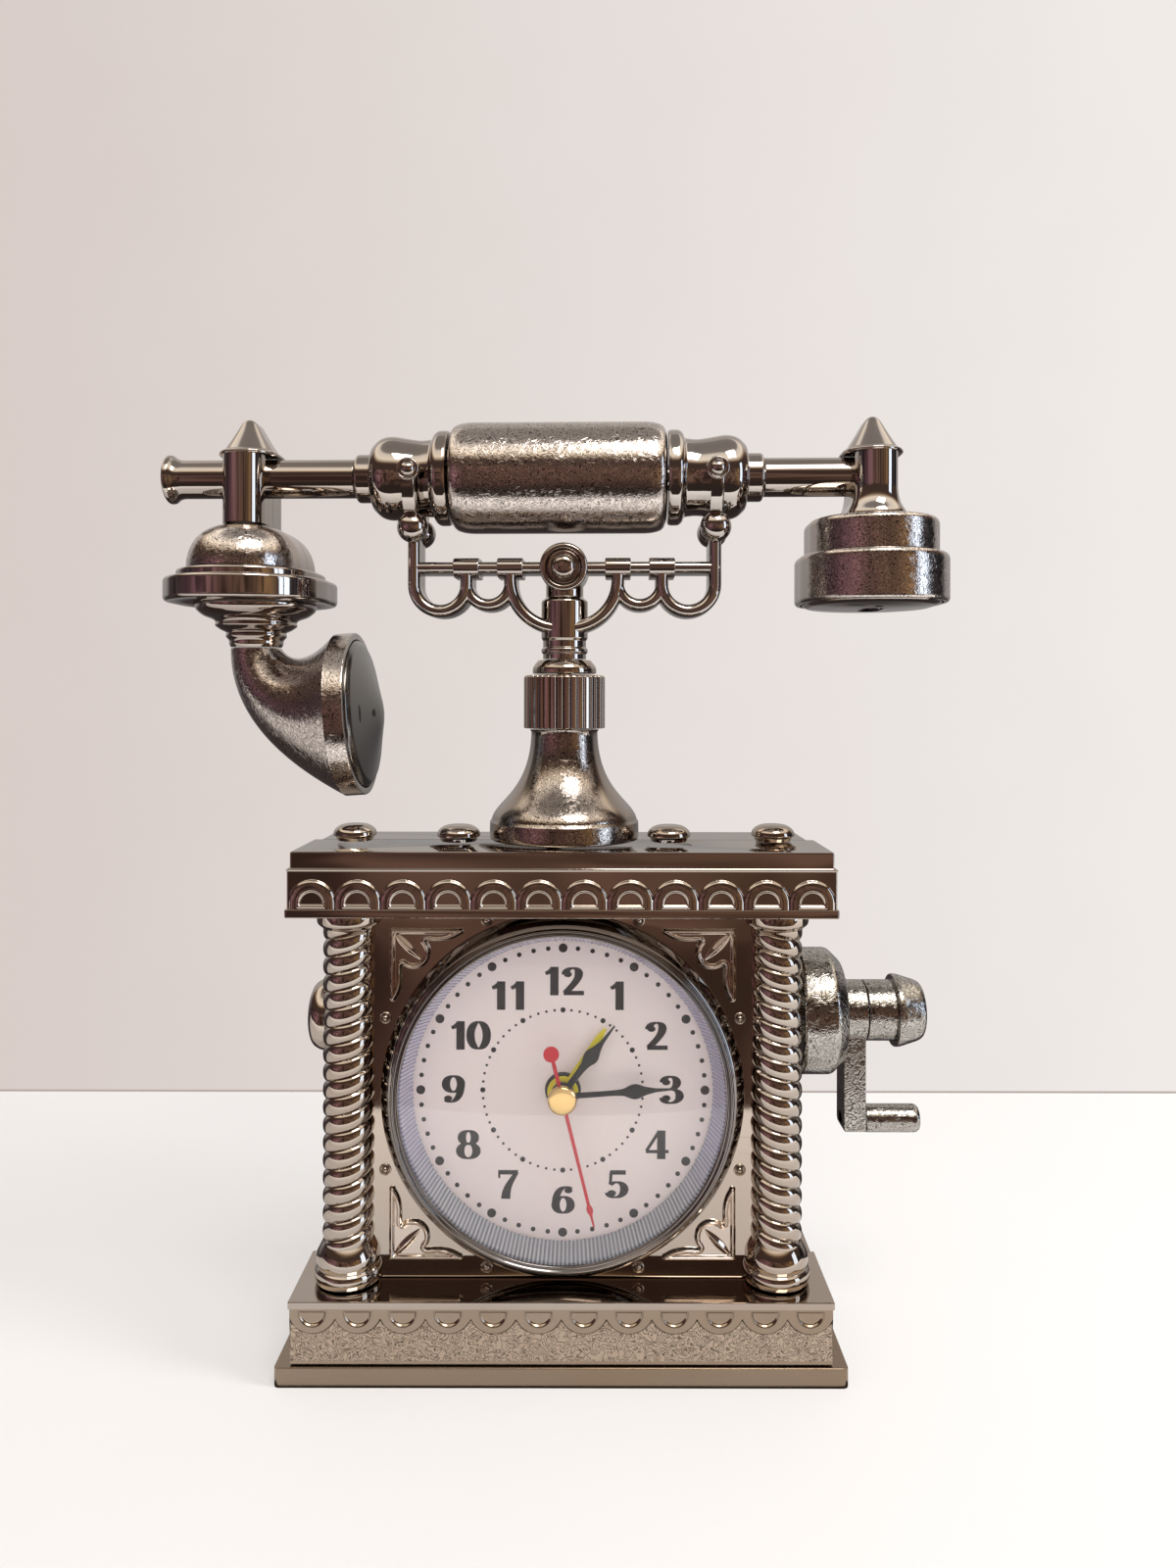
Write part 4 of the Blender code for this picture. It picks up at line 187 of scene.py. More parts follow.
def carried(path, section):
    """Section (across, out) carried along a path (x, z): the point is path + normal * across, out its depth."""
    path = np.asarray(path, float)
    section = np.asarray(section, float)
    run = heading(path)
    normal = np.stack([-run[:, 1], run[:, 0]], -1)
    flat = path[:, None] + normal[:, None] * section[None, :, :1]
    depth = np.broadcast_to(section[None, :, 1], flat.shape[:2])
    return capped(np.stack([flat[..., 0], depth, flat[..., 1]], -1))


def moulding(profile, end, soft=0.5, side=-1.0):
    """Closed profile (half width, reach, height) carried round a U: side wall, face, side wall.

    The side walls end on the plane y = end. side is -1 for the front and 1 for the rear; the two corners of the
    U are quarter rounds of radius soft.
    """
    half, reach, height = np.asarray(profile, float).T
    q = np.linspace(0.0, math.pi / 2, 5)
    bend_x = np.concatenate([[0.0], soft * (1 - np.cos(q)), soft * (1 - np.cos(q[::-1])), [0.0]])
    bend_y = np.concatenate([[0.0], soft * (1 - np.sin(q)), soft * (1 - np.sin(q[::-1])), [0.0]])
    sign = np.repeat([-1.0, 1.0], 6)
    x = sign[:, None] * np.maximum(half - bend_x[:, None], 0.0)
    y = side * (reach - bend_y[:, None])
    y[[0, -1]] = end
    return capped(np.stack([x, y, height + 0 * x], -1))


def relief(x, z, front, back):
    """Raised field: depth front[i, j] at (x[j], z[i]), closed by a flat back at one depth."""
    rows, cols = front.shape
    across = np.broadcast_to(x[None], (rows, cols))
    up = np.broadcast_to(z[:, None], (rows, cols))
    face = np.stack([across, front, up], -1)
    lid = np.stack([across[[-1, 0]], np.full((2, cols), back), up[[-1, 0]]], -1)
    return capped(np.concatenate([face, lid]).transpose(1, 0, 2))


def on_relief(values, points):
    """Values of a relief's face, laid on all its points: 0 on its back and its ends."""
    grid = np.zeros(points.shape[:2])
    grid[1:-1, :len(values)] = values.T
    return grid


def inside(x, z, outline):
    """Distance to the closed outline, above 0 inside: the nearest point of each side, its sign by crossings."""
    a = np.asarray(outline, float)
    b = np.roll(a, -1, 0)
    px, pz = x[..., None], z[..., None]
    run = b - a
    t = ((px - a[:, 0]) * run[:, 0] + (pz - a[:, 1]) * run[:, 1]) / np.maximum((run ** 2).sum(1), 1e-12)
    t = np.clip(t, 0.0, 1.0)
    gap = np.hypot(px - a[:, 0] - t * run[:, 0], pz - a[:, 1] - t * run[:, 1]).min(-1)
    rise = np.where(run[:, 1] == 0, 1e-12, run[:, 1])
    crossed = ((a[:, 1] > pz) != (b[:, 1] > pz)) & (px < a[:, 0] + (pz - a[:, 1]) / rise * run[:, 0])
    return np.where(crossed.sum(-1) % 2 == 1, gap, -gap)


def net(points, along=False):
    """Corners and faces of a grid whose columns close on themselves, and its rows too where along is set."""
    rows, cols = points.shape[:2]
    i = np.arange(rows if along else rows - 1)[:, None]
    j = np.arange(cols)[None]
    after, right = (i + 1) % rows, (j + 1) % cols
    faces = np.stack([i * cols + j, i * cols + right, after * cols + right, after * cols + j], -1)
    return points.reshape(-1, 3), faces.reshape(-1, 4)


# Finishes
def join(tree, kind, inputs=None, **settings):
    """A node with its settings; each input is a number, a colour or a socket that feeds it."""
    added = tree.nodes.new(kind)
    for name, value in settings.items():
        setattr(added, name, value)
    for name, value in (inputs or {}).items():
        if isinstance(value, bpy.types.NodeSocket):
            tree.links.new(value, added.inputs[name])
        else:
            added.inputs[name].default_value = value
    return added


def math_node(tree, operation, *values):
    """Result of one arithmetic step on numbers or sockets."""
    return join(tree, "ShaderNodeMath", dict(enumerate(values)), operation=operation).outputs[0]


def smooth_step(tree, value, low, high, first=0.0, last=1.0):
    """Smooth change from first to last while the value goes from low to high."""
    numbers = {"Value": value, "From Min": low, "From Max": high, "To Min": first, "To Max": last}
    return join(tree, "ShaderNodeMapRange", numbers, interpolation_type="SMOOTHSTEP").outputs["Result"]


def blended(tree, share, first, second, blend_type="MIX"):
    """Colour between first and second by a share from 0 to 1."""
    first, second = [colour if isinstance(colour, bpy.types.NodeSocket) else (*colour, 1.0)
                     for colour in (first, second)]
    return join(tree, "ShaderNodeMix", {0: share, 6: first, 7: second}, data_type="RGBA",
                blend_type=blend_type).outputs[2]


def mixed(tree, share, first, second):
    """Shader between first and second by a share from 0 to 1."""
    return join(tree, "ShaderNodeMixShader", {0: share, 1: first, 2: second}).outputs[0]


def effect(name, inputs, outputs):
    """Empty node group with number inputs and outputs, and its two end nodes."""
    tree = bpy.data.node_groups.new(name, "ShaderNodeTree")
    for label, value in inputs:
        tree.interface.new_socket(label, in_out="INPUT", socket_type="NodeSocketFloat").default_value = value
    for label in outputs:
        tree.interface.new_socket(label, in_out="OUTPUT", socket_type="NodeSocketFloat")
    return tree, tree.nodes.new("NodeGroupInput").outputs, tree.nodes.new("NodeGroupOutput").inputs


def place_of(tree):
    """Place on the piece, in metres."""
    return join(tree, "ShaderNodeTexCoord").outputs["Object"]


def split(tree, vector):
    """X, Y and Z of a vector."""
    return join(tree, "ShaderNodeSeparateXYZ", {0: vector}).outputs


def noise(tree, place, scale, detail=2.0, roughness=0.5, distortion=0.0):
    """Noise value at a place."""
    return join(tree, "ShaderNodeTexNoise", {"Vector": place, "Scale": scale, "Detail": detail,
                                             "Roughness": roughness, "Distortion": distortion}).outputs[0]


def field_of(tree, name):
    """Values that a piece carries on its points under a name."""
    return join(tree, "ShaderNodeAttribute", attribute_name=name).outputs["Fac"]


def wrinkle_effect():
    """Leather-like grain: level bands of a slow noise, each a rounded worm with a sharp groove beside it."""
    bands = 9.0
    tree, given, wanted = effect("wrinkle_grain", [("Scale", 300.0)], ["Height"])
    field = noise(tree, place_of(tree), given["Scale"], 1.0, 0.45, 0.4)
    wave = math_node(tree, "SINE", math_node(tree, "MULTIPLY", field, bands * math.pi))
    tree.links.new(math_node(tree, "ABSOLUTE", wave), wanted["Height"])
    return tree


def seam_effect():
    """Line of the upright plane where two mouldings meet, turned about the stem by the given turn."""
    tree, given, wanted = effect("parting_plane", [("Turn", 0.0)], ["Line"])
    place = split(tree, place_of(tree))
    off = math_node(tree, "SUBTRACT", place["Y"], SEAM * MM)
    lean = math_node(tree, "MULTIPLY", place["X"], given["Turn"])
    distance = math_node(tree, "ABSOLUTE", math_node(tree, "SUBTRACT", off, lean))
    tree.links.new(smooth_step(tree, distance, 0.00005, 0.00022, 1.0, 0.0), wanted["Line"])
    return tree


def handling_effect():
    """Marks of handling: soft smears, a slow change of tone, hair scratches and dust on what faces up."""
    tree, given, wanted = effect("handling", [("Scale", 60.0)], ["Smear", "Tone", "Scratch", "Dust"])
    place = place_of(tree)
    smear = smooth_step(tree, noise(tree, place, given["Scale"], 4.0, 0.6, 0.6), 0.42, 0.72)
    tone = noise(tree, place, 22.0, 2.0, 0.5, 0.3)
    squeezed = join(tree, "ShaderNodeMapping", {"Vector": place, "Scale": (60.0, 900.0, 1400.0),
                                                "Rotation": (0.3, 0.5, 0.2)}).outputs[0]
    hair = smooth_step(tree, noise(tree, squeezed, 1.0, 2.0, 0.5), 0.70, 0.74)
    facing = split(tree, join(tree, "ShaderNodeNewGeometry").outputs["Normal"])["Z"]
    grains = smooth_step(tree, noise(tree, place, 1500.0, 2.0, 0.7), 0.60, 0.72)
    dust = math_node(tree, "MULTIPLY", smooth_step(tree, facing, 0.96, 0.999), grains)
    for value, label in ((smear, "Smear"), (tone, "Tone"), (hair, "Scratch"), (dust, "Dust")):
        tree.links.new(value, wanted[label])
    return tree


WRINKLE = wrinkle_effect()
PARTING = seam_effect()
HANDLING = handling_effect()


def grouped(tree, group, **values):
    """One use of a shared effect with its own values."""
    return join(tree, "ShaderNodeGroup", values, node_tree=group).outputs


def skin(name, colour, metallic, roughness):
    """New finish: its tree and its shader."""
    finish = bpy.data.materials.new(name)
    finish.use_nodes = True
    shader = finish.node_tree.nodes["Principled BSDF"]
    shader.inputs["Base Color"].default_value = (*colour, 1.0)
    shader.inputs["Metallic"].default_value = metallic
    shader.inputs["Roughness"].default_value = roughness
    return finish, finish.node_tree, shader


def bumped(tree, shader, height, distance):
    """Height, in metres times distance, laid on the surface."""
    bump = join(tree, "ShaderNodeBump", {"Height": height, "Distance": distance, "Strength": 1.0})
    tree.links.new(bump.outputs[0], shader.inputs["Normal"])


def plating(name, colour, roughness=0.05, grain=0.0, scale=300.0, turn=None, keep=0.0, mask=None):
    """Dark mirror plating with marks of handling.

    grain is the depth of its wrinkles in metres, and scale their fineness. They lie where the values called
    mask say, or else on what faces ahead by keep, or else all over. Their colour follows their height: painted
    shade in the grooves and painted highlight on the ridges. With a mask, the values that mark creases paint
    shade along them. turn is the slope of the seam drawn on it.
    """
    finish, tree, shader = skin(name, colour, 1.0, roughness)
    marks = grouped(tree, HANDLING, Scale=60.0)
    warm = tuple(share * shade for share, shade in zip(colour, (0.92, 0.88, 0.84)))
    tone = blended(tree, smooth_step(tree, marks["Tone"], 0.35, 0.7), colour, warm)
    colouring = blended(tree, math_node(tree, "MULTIPLY", marks["Dust"], 0.12), tone, (0.62, 0.60, 0.57))
    rough = math_node(tree, "MULTIPLY_ADD", marks["Smear"], 0.03, roughness)
    rough = math_node(tree, "MULTIPLY_ADD", marks["Dust"], 0.10, rough)
    height = math_node(tree, "MULTIPLY", marks["Scratch"], -0.000002)
    if grain:
        worms = grouped(tree, WRINKLE, Scale=scale)["Height"]
        fine = noise(tree, place_of(tree), scale * 9.0, 1.0, 0.5)
        worms = math_node(tree, "MULTIPLY_ADD", fine, 0.15, worms)
        # Painted light and shade: the grain's colour follows its height, darker in the grooves and lighter on
        # the ridges.
        shade = blended(tree, smooth_step(tree, worms, 0.10, 0.85), tuple(0.34 * part for part in colour),
                        tuple(1.36 * part for part in colour))
        share = None
        if mask:
            share = field_of(tree, mask)
        elif keep:
            facing = join(tree, "ShaderNodeTexCoord").outputs["Normal"]
            ahead = math_node(tree, "ABSOLUTE", split(tree, facing)["Y"])
            share = smooth_step(tree, ahead, keep - 0.15, keep + 0.1)
        if share:
            worms = math_node(tree, "MULTIPLY", worms, share)
            shade = blended(tree, share, colouring, shade)
        colouring = shade
        height = math_node(tree, "MULTIPLY_ADD", worms, grain, height)
    # Painted shade: near-black along the creases that the piece's point values mark.
    if mask:
        colouring = blended(tree, field_of(tree, "crease_shade"), colouring, (0.05, 0.035, 0.025))
    if turn is not None:
        line = grouped(tree, PARTING, Turn=turn)["Line"]
        height = math_node(tree, "MULTIPLY_ADD", line, -0.00012, height)
        colouring = blended(tree, math_node(tree, "MULTIPLY", line, 0.8), colouring, (0.03, 0.02, 0.015))
    tree.links.new(colouring, shader.inputs["Base Color"])
    tree.links.new(rough, shader.inputs["Roughness"])
    bumped(tree, shader, height, 1.0)
    return finish


def solid(name, colour, roughness, metallic=0.0, speck=0.1, scale=900.0, coat=0.0, rise=0.00001, specular=0.5):
    """Plain moulded or painted finish with faint mottling, fine texture and worn patches."""
    finish, tree, shader = skin(name, colour, metallic, roughness)
    marks = grouped(tree, HANDLING, Scale=90.0)
    fine = noise(tree, place_of(tree), scale, 3.0, 0.6)
    deep = tuple(share * (1 - speck) for share in colour)
    light = blended(tree, fine, deep, colour)
    worn = blended(tree, math_node(tree, "MULTIPLY", marks["Smear"], 0.5), light, deep)
    dusty = math_node(tree, "MULTIPLY", marks["Dust"], 0.35)
    tree.links.new(blended(tree, dusty, worn, (0.6, 0.58, 0.55)), shader.inputs["Base Color"])
    tree.links.new(math_node(tree, "MULTIPLY_ADD", marks["Smear"], 0.12, roughness), shader.inputs["Roughness"])
    shader.inputs["Coat Weight"].default_value = coat
    shader.inputs["Specular IOR Level"].default_value = specular
    bumped(tree, shader, fine, rise)
    return finish


def lens_plastic():
    """Clear plastic that mirrors less than its bending of light would make it."""
    finish, _, shader = skin("lens_plastic", (1.0, 1.0, 1.0), 0.0, 0.015)
    shader.inputs["Transmission Weight"].default_value = 1.0
    shader.inputs["IOR"].default_value = 1.47
    shader.inputs["Specular IOR Level"].default_value = 0.25
    return finish


def fluted_plastic():
    """Clear ring's plastic: dark and pale by turns round the dial as painted shade and highlight on its flutes,
    grey below and lavender above.
    """
    finish, tree, shader = skin("fluted_plastic", (0.80, 0.79, 0.92), 0.0, 0.12)
    place = split(tree, place_of(tree))
    bearing = math_node(tree, "ARCTAN2", math_node(tree, "SUBTRACT", place["Z"], DIAL * MM), place["X"])
    # Painted shade and highlight: one dark and one pale stripe to each flute, by the angle round the dial.
    painted_flute_shading = math_node(tree, "SINE", math_node(tree, "MULTIPLY", bearing, FLUTES))
    high = smooth_step(tree, place["Z"], (DIAL - 26.0) * MM, (DIAL - 8.0) * MM)
    dark = blended(tree, high, (0.34, 0.35, 0.40), (0.50, 0.47, 0.68))
    pale = blended(tree, high, (0.90, 0.91, 0.95), (0.90, 0.87, 1.0))
    tree.links.new(blended(tree, smooth_step(tree, painted_flute_shading, -0.5, 0.7), dark, pale), shader.inputs["Base Color"])
    shader.inputs["Transmission Weight"].default_value = 0.35
    shader.inputs["IOR"].default_value = 1.3
    return finish


CHROME = (0.47, 0.415, 0.365)
TURN = math.tan(SWIVEL)
BRIGHT = plating("mirror_plating", CHROME, 0.04)
# The ornaments' plating is a lighter copy of the mirror plating: painted light, so that their rims look
# brighter.
LIT_RELIEF = plating("relief_lit_plating", (0.60, 0.53, 0.47), 0.07)
CASE_SKIN = plating("case_plating", CHROME, 0.04, turn=0.0)
# The bezel's plating is a darker copy of the mirror plating: painted shade for the dark room that its slope
# mirrors.
SHADED_BEZEL_SKIN = plating("bezel_shaded_plating", (0.25, 0.235, 0.23), 0.04)
BASE_SKIN = plating("base_plating", (0.31, 0.245, 0.185), 0.20)
FIELD = plating("plinth_field", (0.36, 0.29, 0.225), 0.16, 0.00004, 560.0, mask="field")
# The bell's grain is real; its plating is also a darker copy of the others: painted shade that dims the broad
# highlight on its flare.
BELL_SKIN = plating("bell_grain", (0.35, 0.305, 0.27), 0.14, 0.000012, 640.0, turn=0.0, keep=0.62)
HAND_SMOOTH = plating("handset_plating", (0.48, 0.44, 0.41), 0.04, turn=TURN)
HAND_GRAIN = plating("handset_grain", (0.51, 0.46, 0.425), 0.14, 0.000013, 600.0, turn=TURN, keep=0.35)
CRANK_SKIN = plating("crank_grain", (0.34, 0.325, 0.30), 0.15, 0.000024, 480.0)
MUZZLE = plating("muzzle_plating", (0.24, 0.24, 0.235), 0.20)
CARD = solid("dial_card", (0.90, 0.785, 0.757), 0.45, speck=0.03, rise=0.000003)
INK = solid("dial_ink", (0.014, 0.005, 0.006), 0.55, speck=0.2, rise=0.000002, specular=0.1)
BLACK = solid("black_hand", (0.010, 0.008, 0.008), 0.35, speck=0.2, specular=0.25)
YELLOW = solid("yellow_hand", (0.80, 0.66, 0.01), 0.4, speck=0.08, specular=0.2)
RED = solid("red_hand", (0.62, 0.015, 0.03), 0.35, speck=0.08, specular=0.2)
GOLD = solid("gold_cap", (0.80, 0.55, 0.24), 0.16, 1.0, speck=0.08)
DARK_PLASTIC = solid("movement_plastic", (0.02, 0.02, 0.02), 0.42, speck=0.3, rise=0.00002)
PALE_PLASTIC = solid("pale_plastic", (0.74, 0.74, 0.70), 0.38, speck=0.06)
STEEL = solid("bright_steel", (0.56, 0.55, 0.53), 0.28, 1.0)
BRASS = solid("wheel_brass", (0.72, 0.54, 0.24), 0.3, 1.0, speck=0.12)
COPPER = solid("coil_copper", (0.72, 0.35, 0.18), 0.35, 1.0, speck=0.2, scale=4000.0, rise=0.00004)
WRAP = solid("cell_wrap", (0.05, 0.20, 0.11), 0.3, speck=0.2, coat=0.4)
GLASS = lens_plastic()
RING = fluted_plastic()


# Building
def made(name, nets, finish, body, *stands_for, edge=35.0, slot=None, fields=None):
    """One piece: its nets in one mesh, doubles merged, faces outward, shaded smooth below the edge angle.

    Its slot holds its finish; the slot argument is not used. fields are values on its points, by name.
    """
    spots = np.concatenate([corners for corners, _ in nets])
    starts = np.cumsum([0] + [len(corners) for corners, _ in nets[:-1]])
    faces = np.concatenate([quads + start for (_, quads), start in zip(nets, starts)])
    mesh = bpy.data.meshes.new(name)
    mesh.vertices.add(len(spots))
    mesh.vertices.foreach_set("co", (spots * MM).astype(np.float32).ravel())
    mesh.loops.add(faces.size)
    mesh.loops.foreach_set("vertex_index", faces.ravel().astype(np.int32))
    mesh.polygons.add(len(faces))
    mesh.polygons.foreach_set("loop_start", np.arange(0, faces.size, 4, dtype=np.int32))
    mesh.update(calc_edges=True)
    for label, values in (fields or {}).items():
        values_on = mesh.attributes.new(label, "FLOAT", "POINT").data
        values_on.foreach_set("value", values.astype(np.float32).ravel())
    work = bmesh.new()
    work.from_mesh(mesh)
    bmesh.ops.remove_doubles(work, verts=work.verts, dist=2e-6)
    bmesh.ops.recalc_face_normals(work, faces=work.faces)
    work.to_mesh(mesh)
    work.free()
    mesh.shade_smooth()
    mesh.set_sharp_from_angle(angle=math.radians(edge))
    mesh.materials.append(finish)
    piece = bpy.data.objects.new(name, mesh)
    bpy.context.scene.collection.objects.link(piece)
    even = piece.modifiers.new("even_shading", "WEIGHTED_NORMAL")
    even.keep_sharp = True
    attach(piece, body)
    if stands_for:
        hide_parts(*stands_for)
    return piece


def dressed(name, nets, finish, body, **more):
    """Piece that stands for the solid of the same name."""
    return made(name + "_looks", nets, finish, body, name, **more)


# Base and plinth
def box_loops(half, reach, soft, levels):
    """Rounded rectangles (inset, height), each quarter corner a round of radius soft less the inset."""
    q = np.linspace(0.0, math.pi / 2, 7)
    t = np.concatenate([q, q + math.pi / 2, q + math.pi, q + 1.5 * math.pi])
    sx = np.repeat([1.0, -1.0, -1.0, 1.0], 7)
    sy = np.repeat([1.0, 1.0, -1.0, -1.0], 7)
    inset, height = np.asarray(levels, float).T[..., None]
    corner = np.maximum(soft - inset, 0.02)
    x = sx * (half - inset - corner) + corner * np.cos(t)
    y = sy * (reach - inset - corner) + corner * np.sin(t)
    return capped(np.stack([x, y, height + 0 * x], -1))


base_edge = rounded([(0.3, 0.0, 0), (0.0, 0.0, 0.3), (0.0, BASE[2], 0.35), (0.9, BASE[2], 0)], 5)
dressed("base_plate", [net(box_loops(BASE[0], BASE[1], 1.2, base_edge))], BASE_SKIN, "case")

half, face, low, high = PLINTH
plinth = [(half, face, low), (half, face, LIP - 0.12), (half + 0.05, face + 0.1, LIP),
          (half + 0.3, face + 0.9, LIP), (half + 0.4, face + 1.0, LIP + 0.15),
          (half + 0.4, face + 1.0, high - 0.25), (half + 0.3, face + 0.9, high - 0.06),
          (half + 0.1, face + 0.7, high), (half - 9.0, face - 12.0, high),
          (half - 9.0, face - 12.0, high - SHELL), (half - SHELL, face - SHELL, high - SHELL),
          (half - SHELL, face - SHELL, low)]
made("plinth_front", [net(moulding(plinth, SEAM - GAP / 2, 0.4))], BRIGHT, "case", "front_shell")


def scallops(x, z):
    """Apron: how far its scallops stand out, where the field beside them shows, and painted shade along the
    creases round them.

    A scallop is a circle that hangs from the lip, with a sunk half disc in it: smooth steps of the distances.
    """
    pitch = 2 * PLINTH[0] / BAYS
    u = np.mod(x, pitch) - pitch / 2
    hang = np.hypot(u, z - (LIP - 0.1))
    whole = step(5.5 - hang, -0.25, 0.25)
    hole = np.minimum(3.05 - np.hypot(u, np.minimum(z - (LIP - 1.0), 0.0)), LIP - 0.55 - z)
    pocket = step(hole, 0.0, 0.55)
    round_it = np.clip(1 - np.abs(hang - 5.62) / 0.2, 0, 1)
    round_hole = np.clip(1 - np.abs(hole + 0.02) / 0.16, 0, 1)
    return 0.6 * whole - 0.5 * pocket, 1 - whole, np.maximum(round_it, 0.8 * round_hole)


x = np.linspace(-half, half, 722)
z = np.linspace(LIP + 0.1, low, 76)
raised, open_field, crease_shade = scallops(x[None], z[:, None])
apron = relief(x, z, -(face + 0.02 + raised), -(face - 0.6))
grained = open_field * (1 - step(z, low + 0.9, low + 0.6))[:, None]
# The crease values are painted shade, darker along the scallops' edges and round their pockets.
made("plinth_apron", [net(apron)], FIELD, "case", edge=60.0,
     fields={"field": on_relief(grained, apron), "crease_shade": on_relief(0.75 * crease_shade, apron)})

rear_half = 59.85
plinth_rear = [(rear_half, 20.0, low), (rear_half, 20.0, high - 0.3), (rear_half - 0.3, 19.7, high),
               (rear_half - 9.0, 8.0, high), (rear_half - 9.0, 8.0, high - SHELL),
               (rear_half - SHELL, 18.0, high - SHELL), (rear_half - SHELL, 18.0, low)]


def opened(half_x, half_z, shape, levels):
    """Plate with an opening: rows (share, inset, depth) from the opening's edge to the outer rectangle."""
    corner = math.atan2(half_z, half_x)
    t = np.linspace(0.0, 2 * math.pi, 240, endpoint=False)
    t = np.sort(np.concatenate([t, [corner, math.pi - corner, math.pi + corner, -corner + 2 * math.pi]]))
    c, s = np.cos(t), np.sin(t)
    reach = 1 / np.maximum(np.abs(c) / half_x, np.abs(s) / half_z)
    rows = []
    for share, inset, depth in levels:
        outer_x = np.clip(reach * c, inset - half_x, half_x - inset)
        outer_z = np.clip(reach * s, inset - half_z, half_z - inset)
        radius = shape(c, s) + inset
        rows.append(np.stack([(radius * c) * (1 - share) + outer_x * share, depth + 0 * t,
                              DIAL + (radius * s) * (1 - share) + outer_z * share], -1))
    return np.stack(rows)


panel_half = (BAND - high) / 2
panel = opened(CASE, panel_half, lambda c, s: 39.2, [
    (0, 0, -PANEL), (0.5, 0, -PANEL), (1, 0.6, -PANEL), (1, 0.2, -PANEL + 0.15), (1, 0, -PANEL + 0.6),
    (1, 0, SEAM - GAP / 2), (1, SHELL, SEAM - GAP / 2), (1, SHELL, -PANEL + SHELL), (0, 0, -PANEL + SHELL)])
made("panel_front", [net(panel, along=True)], CASE_SKIN, "case")

edges = [(50.0, 8.5, BAND), (61.3, 20.5, BAND), (61.5, 20.7, BAND + 0.2), (61.5, 20.7, FASCIA - 0.25),
         (61.45, 20.6, FASCIA - 0.06), (61.25, 20.4, FASCIA), (61.2, 19.9, FASCIA), (61.2, 19.8, FASCIA + 0.1),
         (61.2, 19.8, SLAB - 0.55), (61.3, 20.0, SLAB - 0.45), (61.35, 20.1, SLAB - 0.2), (61.2, 19.9, SLAB),
         (60.7, 19.6, SLAB + 0.02), (60.6, 19.5, SLAB + 0.15), (60.6, 19.5, TOP - 0.45),
         (60.5, 19.4, TOP - 0.12), (60.2, 19.1, TOP), (0.0, -SEAM + 0.16, TOP),
         (0.0, -SEAM + 0.16, TOP - SHELL), (58.5, 17.5, TOP - SHELL), (58.5, 17.5, BAND + SHELL),
         (50.0, 8.5, BAND + SHELL)]
made("cornice_front", [net(moulding(edges, SEAM - GAP / 2, 0.4))], BRIGHT, "case")


def arches(x, z):
    """Row of rounded arches, each with a sunk half disc: smooth steps of the distance to circles on legs."""
    pitch = 2 * ARCADE / BAYS
    u = np.mod(x, pitch) - pitch / 2
    rise = np.maximum(z - (FASCIA + 1.4), 0.0)
    away = 5.1 - np.hypot(u, rise)
    whole = np.sqrt(np.clip(1 - (1 - np.clip(away / 1.5, 0, 1)) ** 2, 0, 1))
    floor = z - (FASCIA + 0.55)
    hole = np.minimum(3.05 - np.hypot(u, np.maximum(z - (FASCIA + 1.35), 0.0)), floor)
    return 0.7 * whole - 0.45 * step(hole, 0.0, 0.65) + 0.12 * step(hole, -0.3, 0.0) * (whole > 0)


x = np.linspace(-ARCADE, ARCADE, 722)
z = np.linspace(FASCIA - 0.1, SLAB - 0.7, 58)
made("cornice_arches", [net(relief(x, z, -(19.82 + arches(x[None], z[:, None])), -19.2))], BRIGHT, "case",
     edge=60.0)

cornice_rear = [(50.0, 8.0, BAND), (58.6, 19.2, BAND), (58.8, 19.4, BAND + 0.2), (58.8, 19.4, TOP - 0.3),
                (58.5, 19.1, TOP), (0.0, SEAM + 0.16, TOP), (0.0, SEAM + 0.16, TOP - SHELL),
                (56.8, 17.4, TOP - SHELL), (56.8, 17.4, BAND + SHELL), (50.0, 8.0, BAND + SHELL)]
back = opened(CASE, panel_half, lambda c, s: 29.2 / np.maximum(np.abs(c), np.abs(s)), [
    (0, 0, REAR), (1, 0.5, REAR), (1, 0.15, REAR - 0.15), (1, 0, REAR - 0.5), (1, 0, SEAM + GAP / 2),
    (1, SHELL, SEAM + GAP / 2), (1, SHELL, REAR - SHELL), (0, 0, REAR - SHELL)])
dressed("rear_shell", [net(moulding(plinth_rear, SEAM + GAP / 2, 0.5, 1.0)), net(back, along=True),
                       net(moulding(cornice_rear, SEAM + GAP / 2, 0.5, 1.0))], CASE_SKIN, "case")

# Corner ornaments and rivet heads
lobe = arc((5.6, 5.6), 3.95, -40.4, 130.4, 28)
lower = np.vstack([arc((16.3, 0.8), 0.8, -90, 75, 8), curve([(16.3, 1.6), (13.4, 3.6), (8.8, 2.9)], 14)])
ornament = np.vstack([[(0.0, 0.0)], lower[:-1], lobe, lower[::-1, ::-1][1:]])
blade = curve([(0.9, 0.9), (5.2, 2.4), (7.4, 7.4)], 10)
leaf = np.vstack([blade, blade[::-1, ::-1][1:-1]])


def ornament_field(u, v):
    """Raised leafwork: rounded rim along the outline, dished inside, and a roof-shaped leaf at the lobe."""
    d = inside(u, v, ornament)
    rim = np.sin(math.pi * np.clip(d / 1.3, 0, 1))
    dish = step(d, 0.3, 0.9)
    roof = np.clip(inside(u, v, leaf) / 1.1, 0, 1)
    return 0.85 * rim + 0.25 * dish + 0.8 * roof * step(d, 0.9, 1.4)


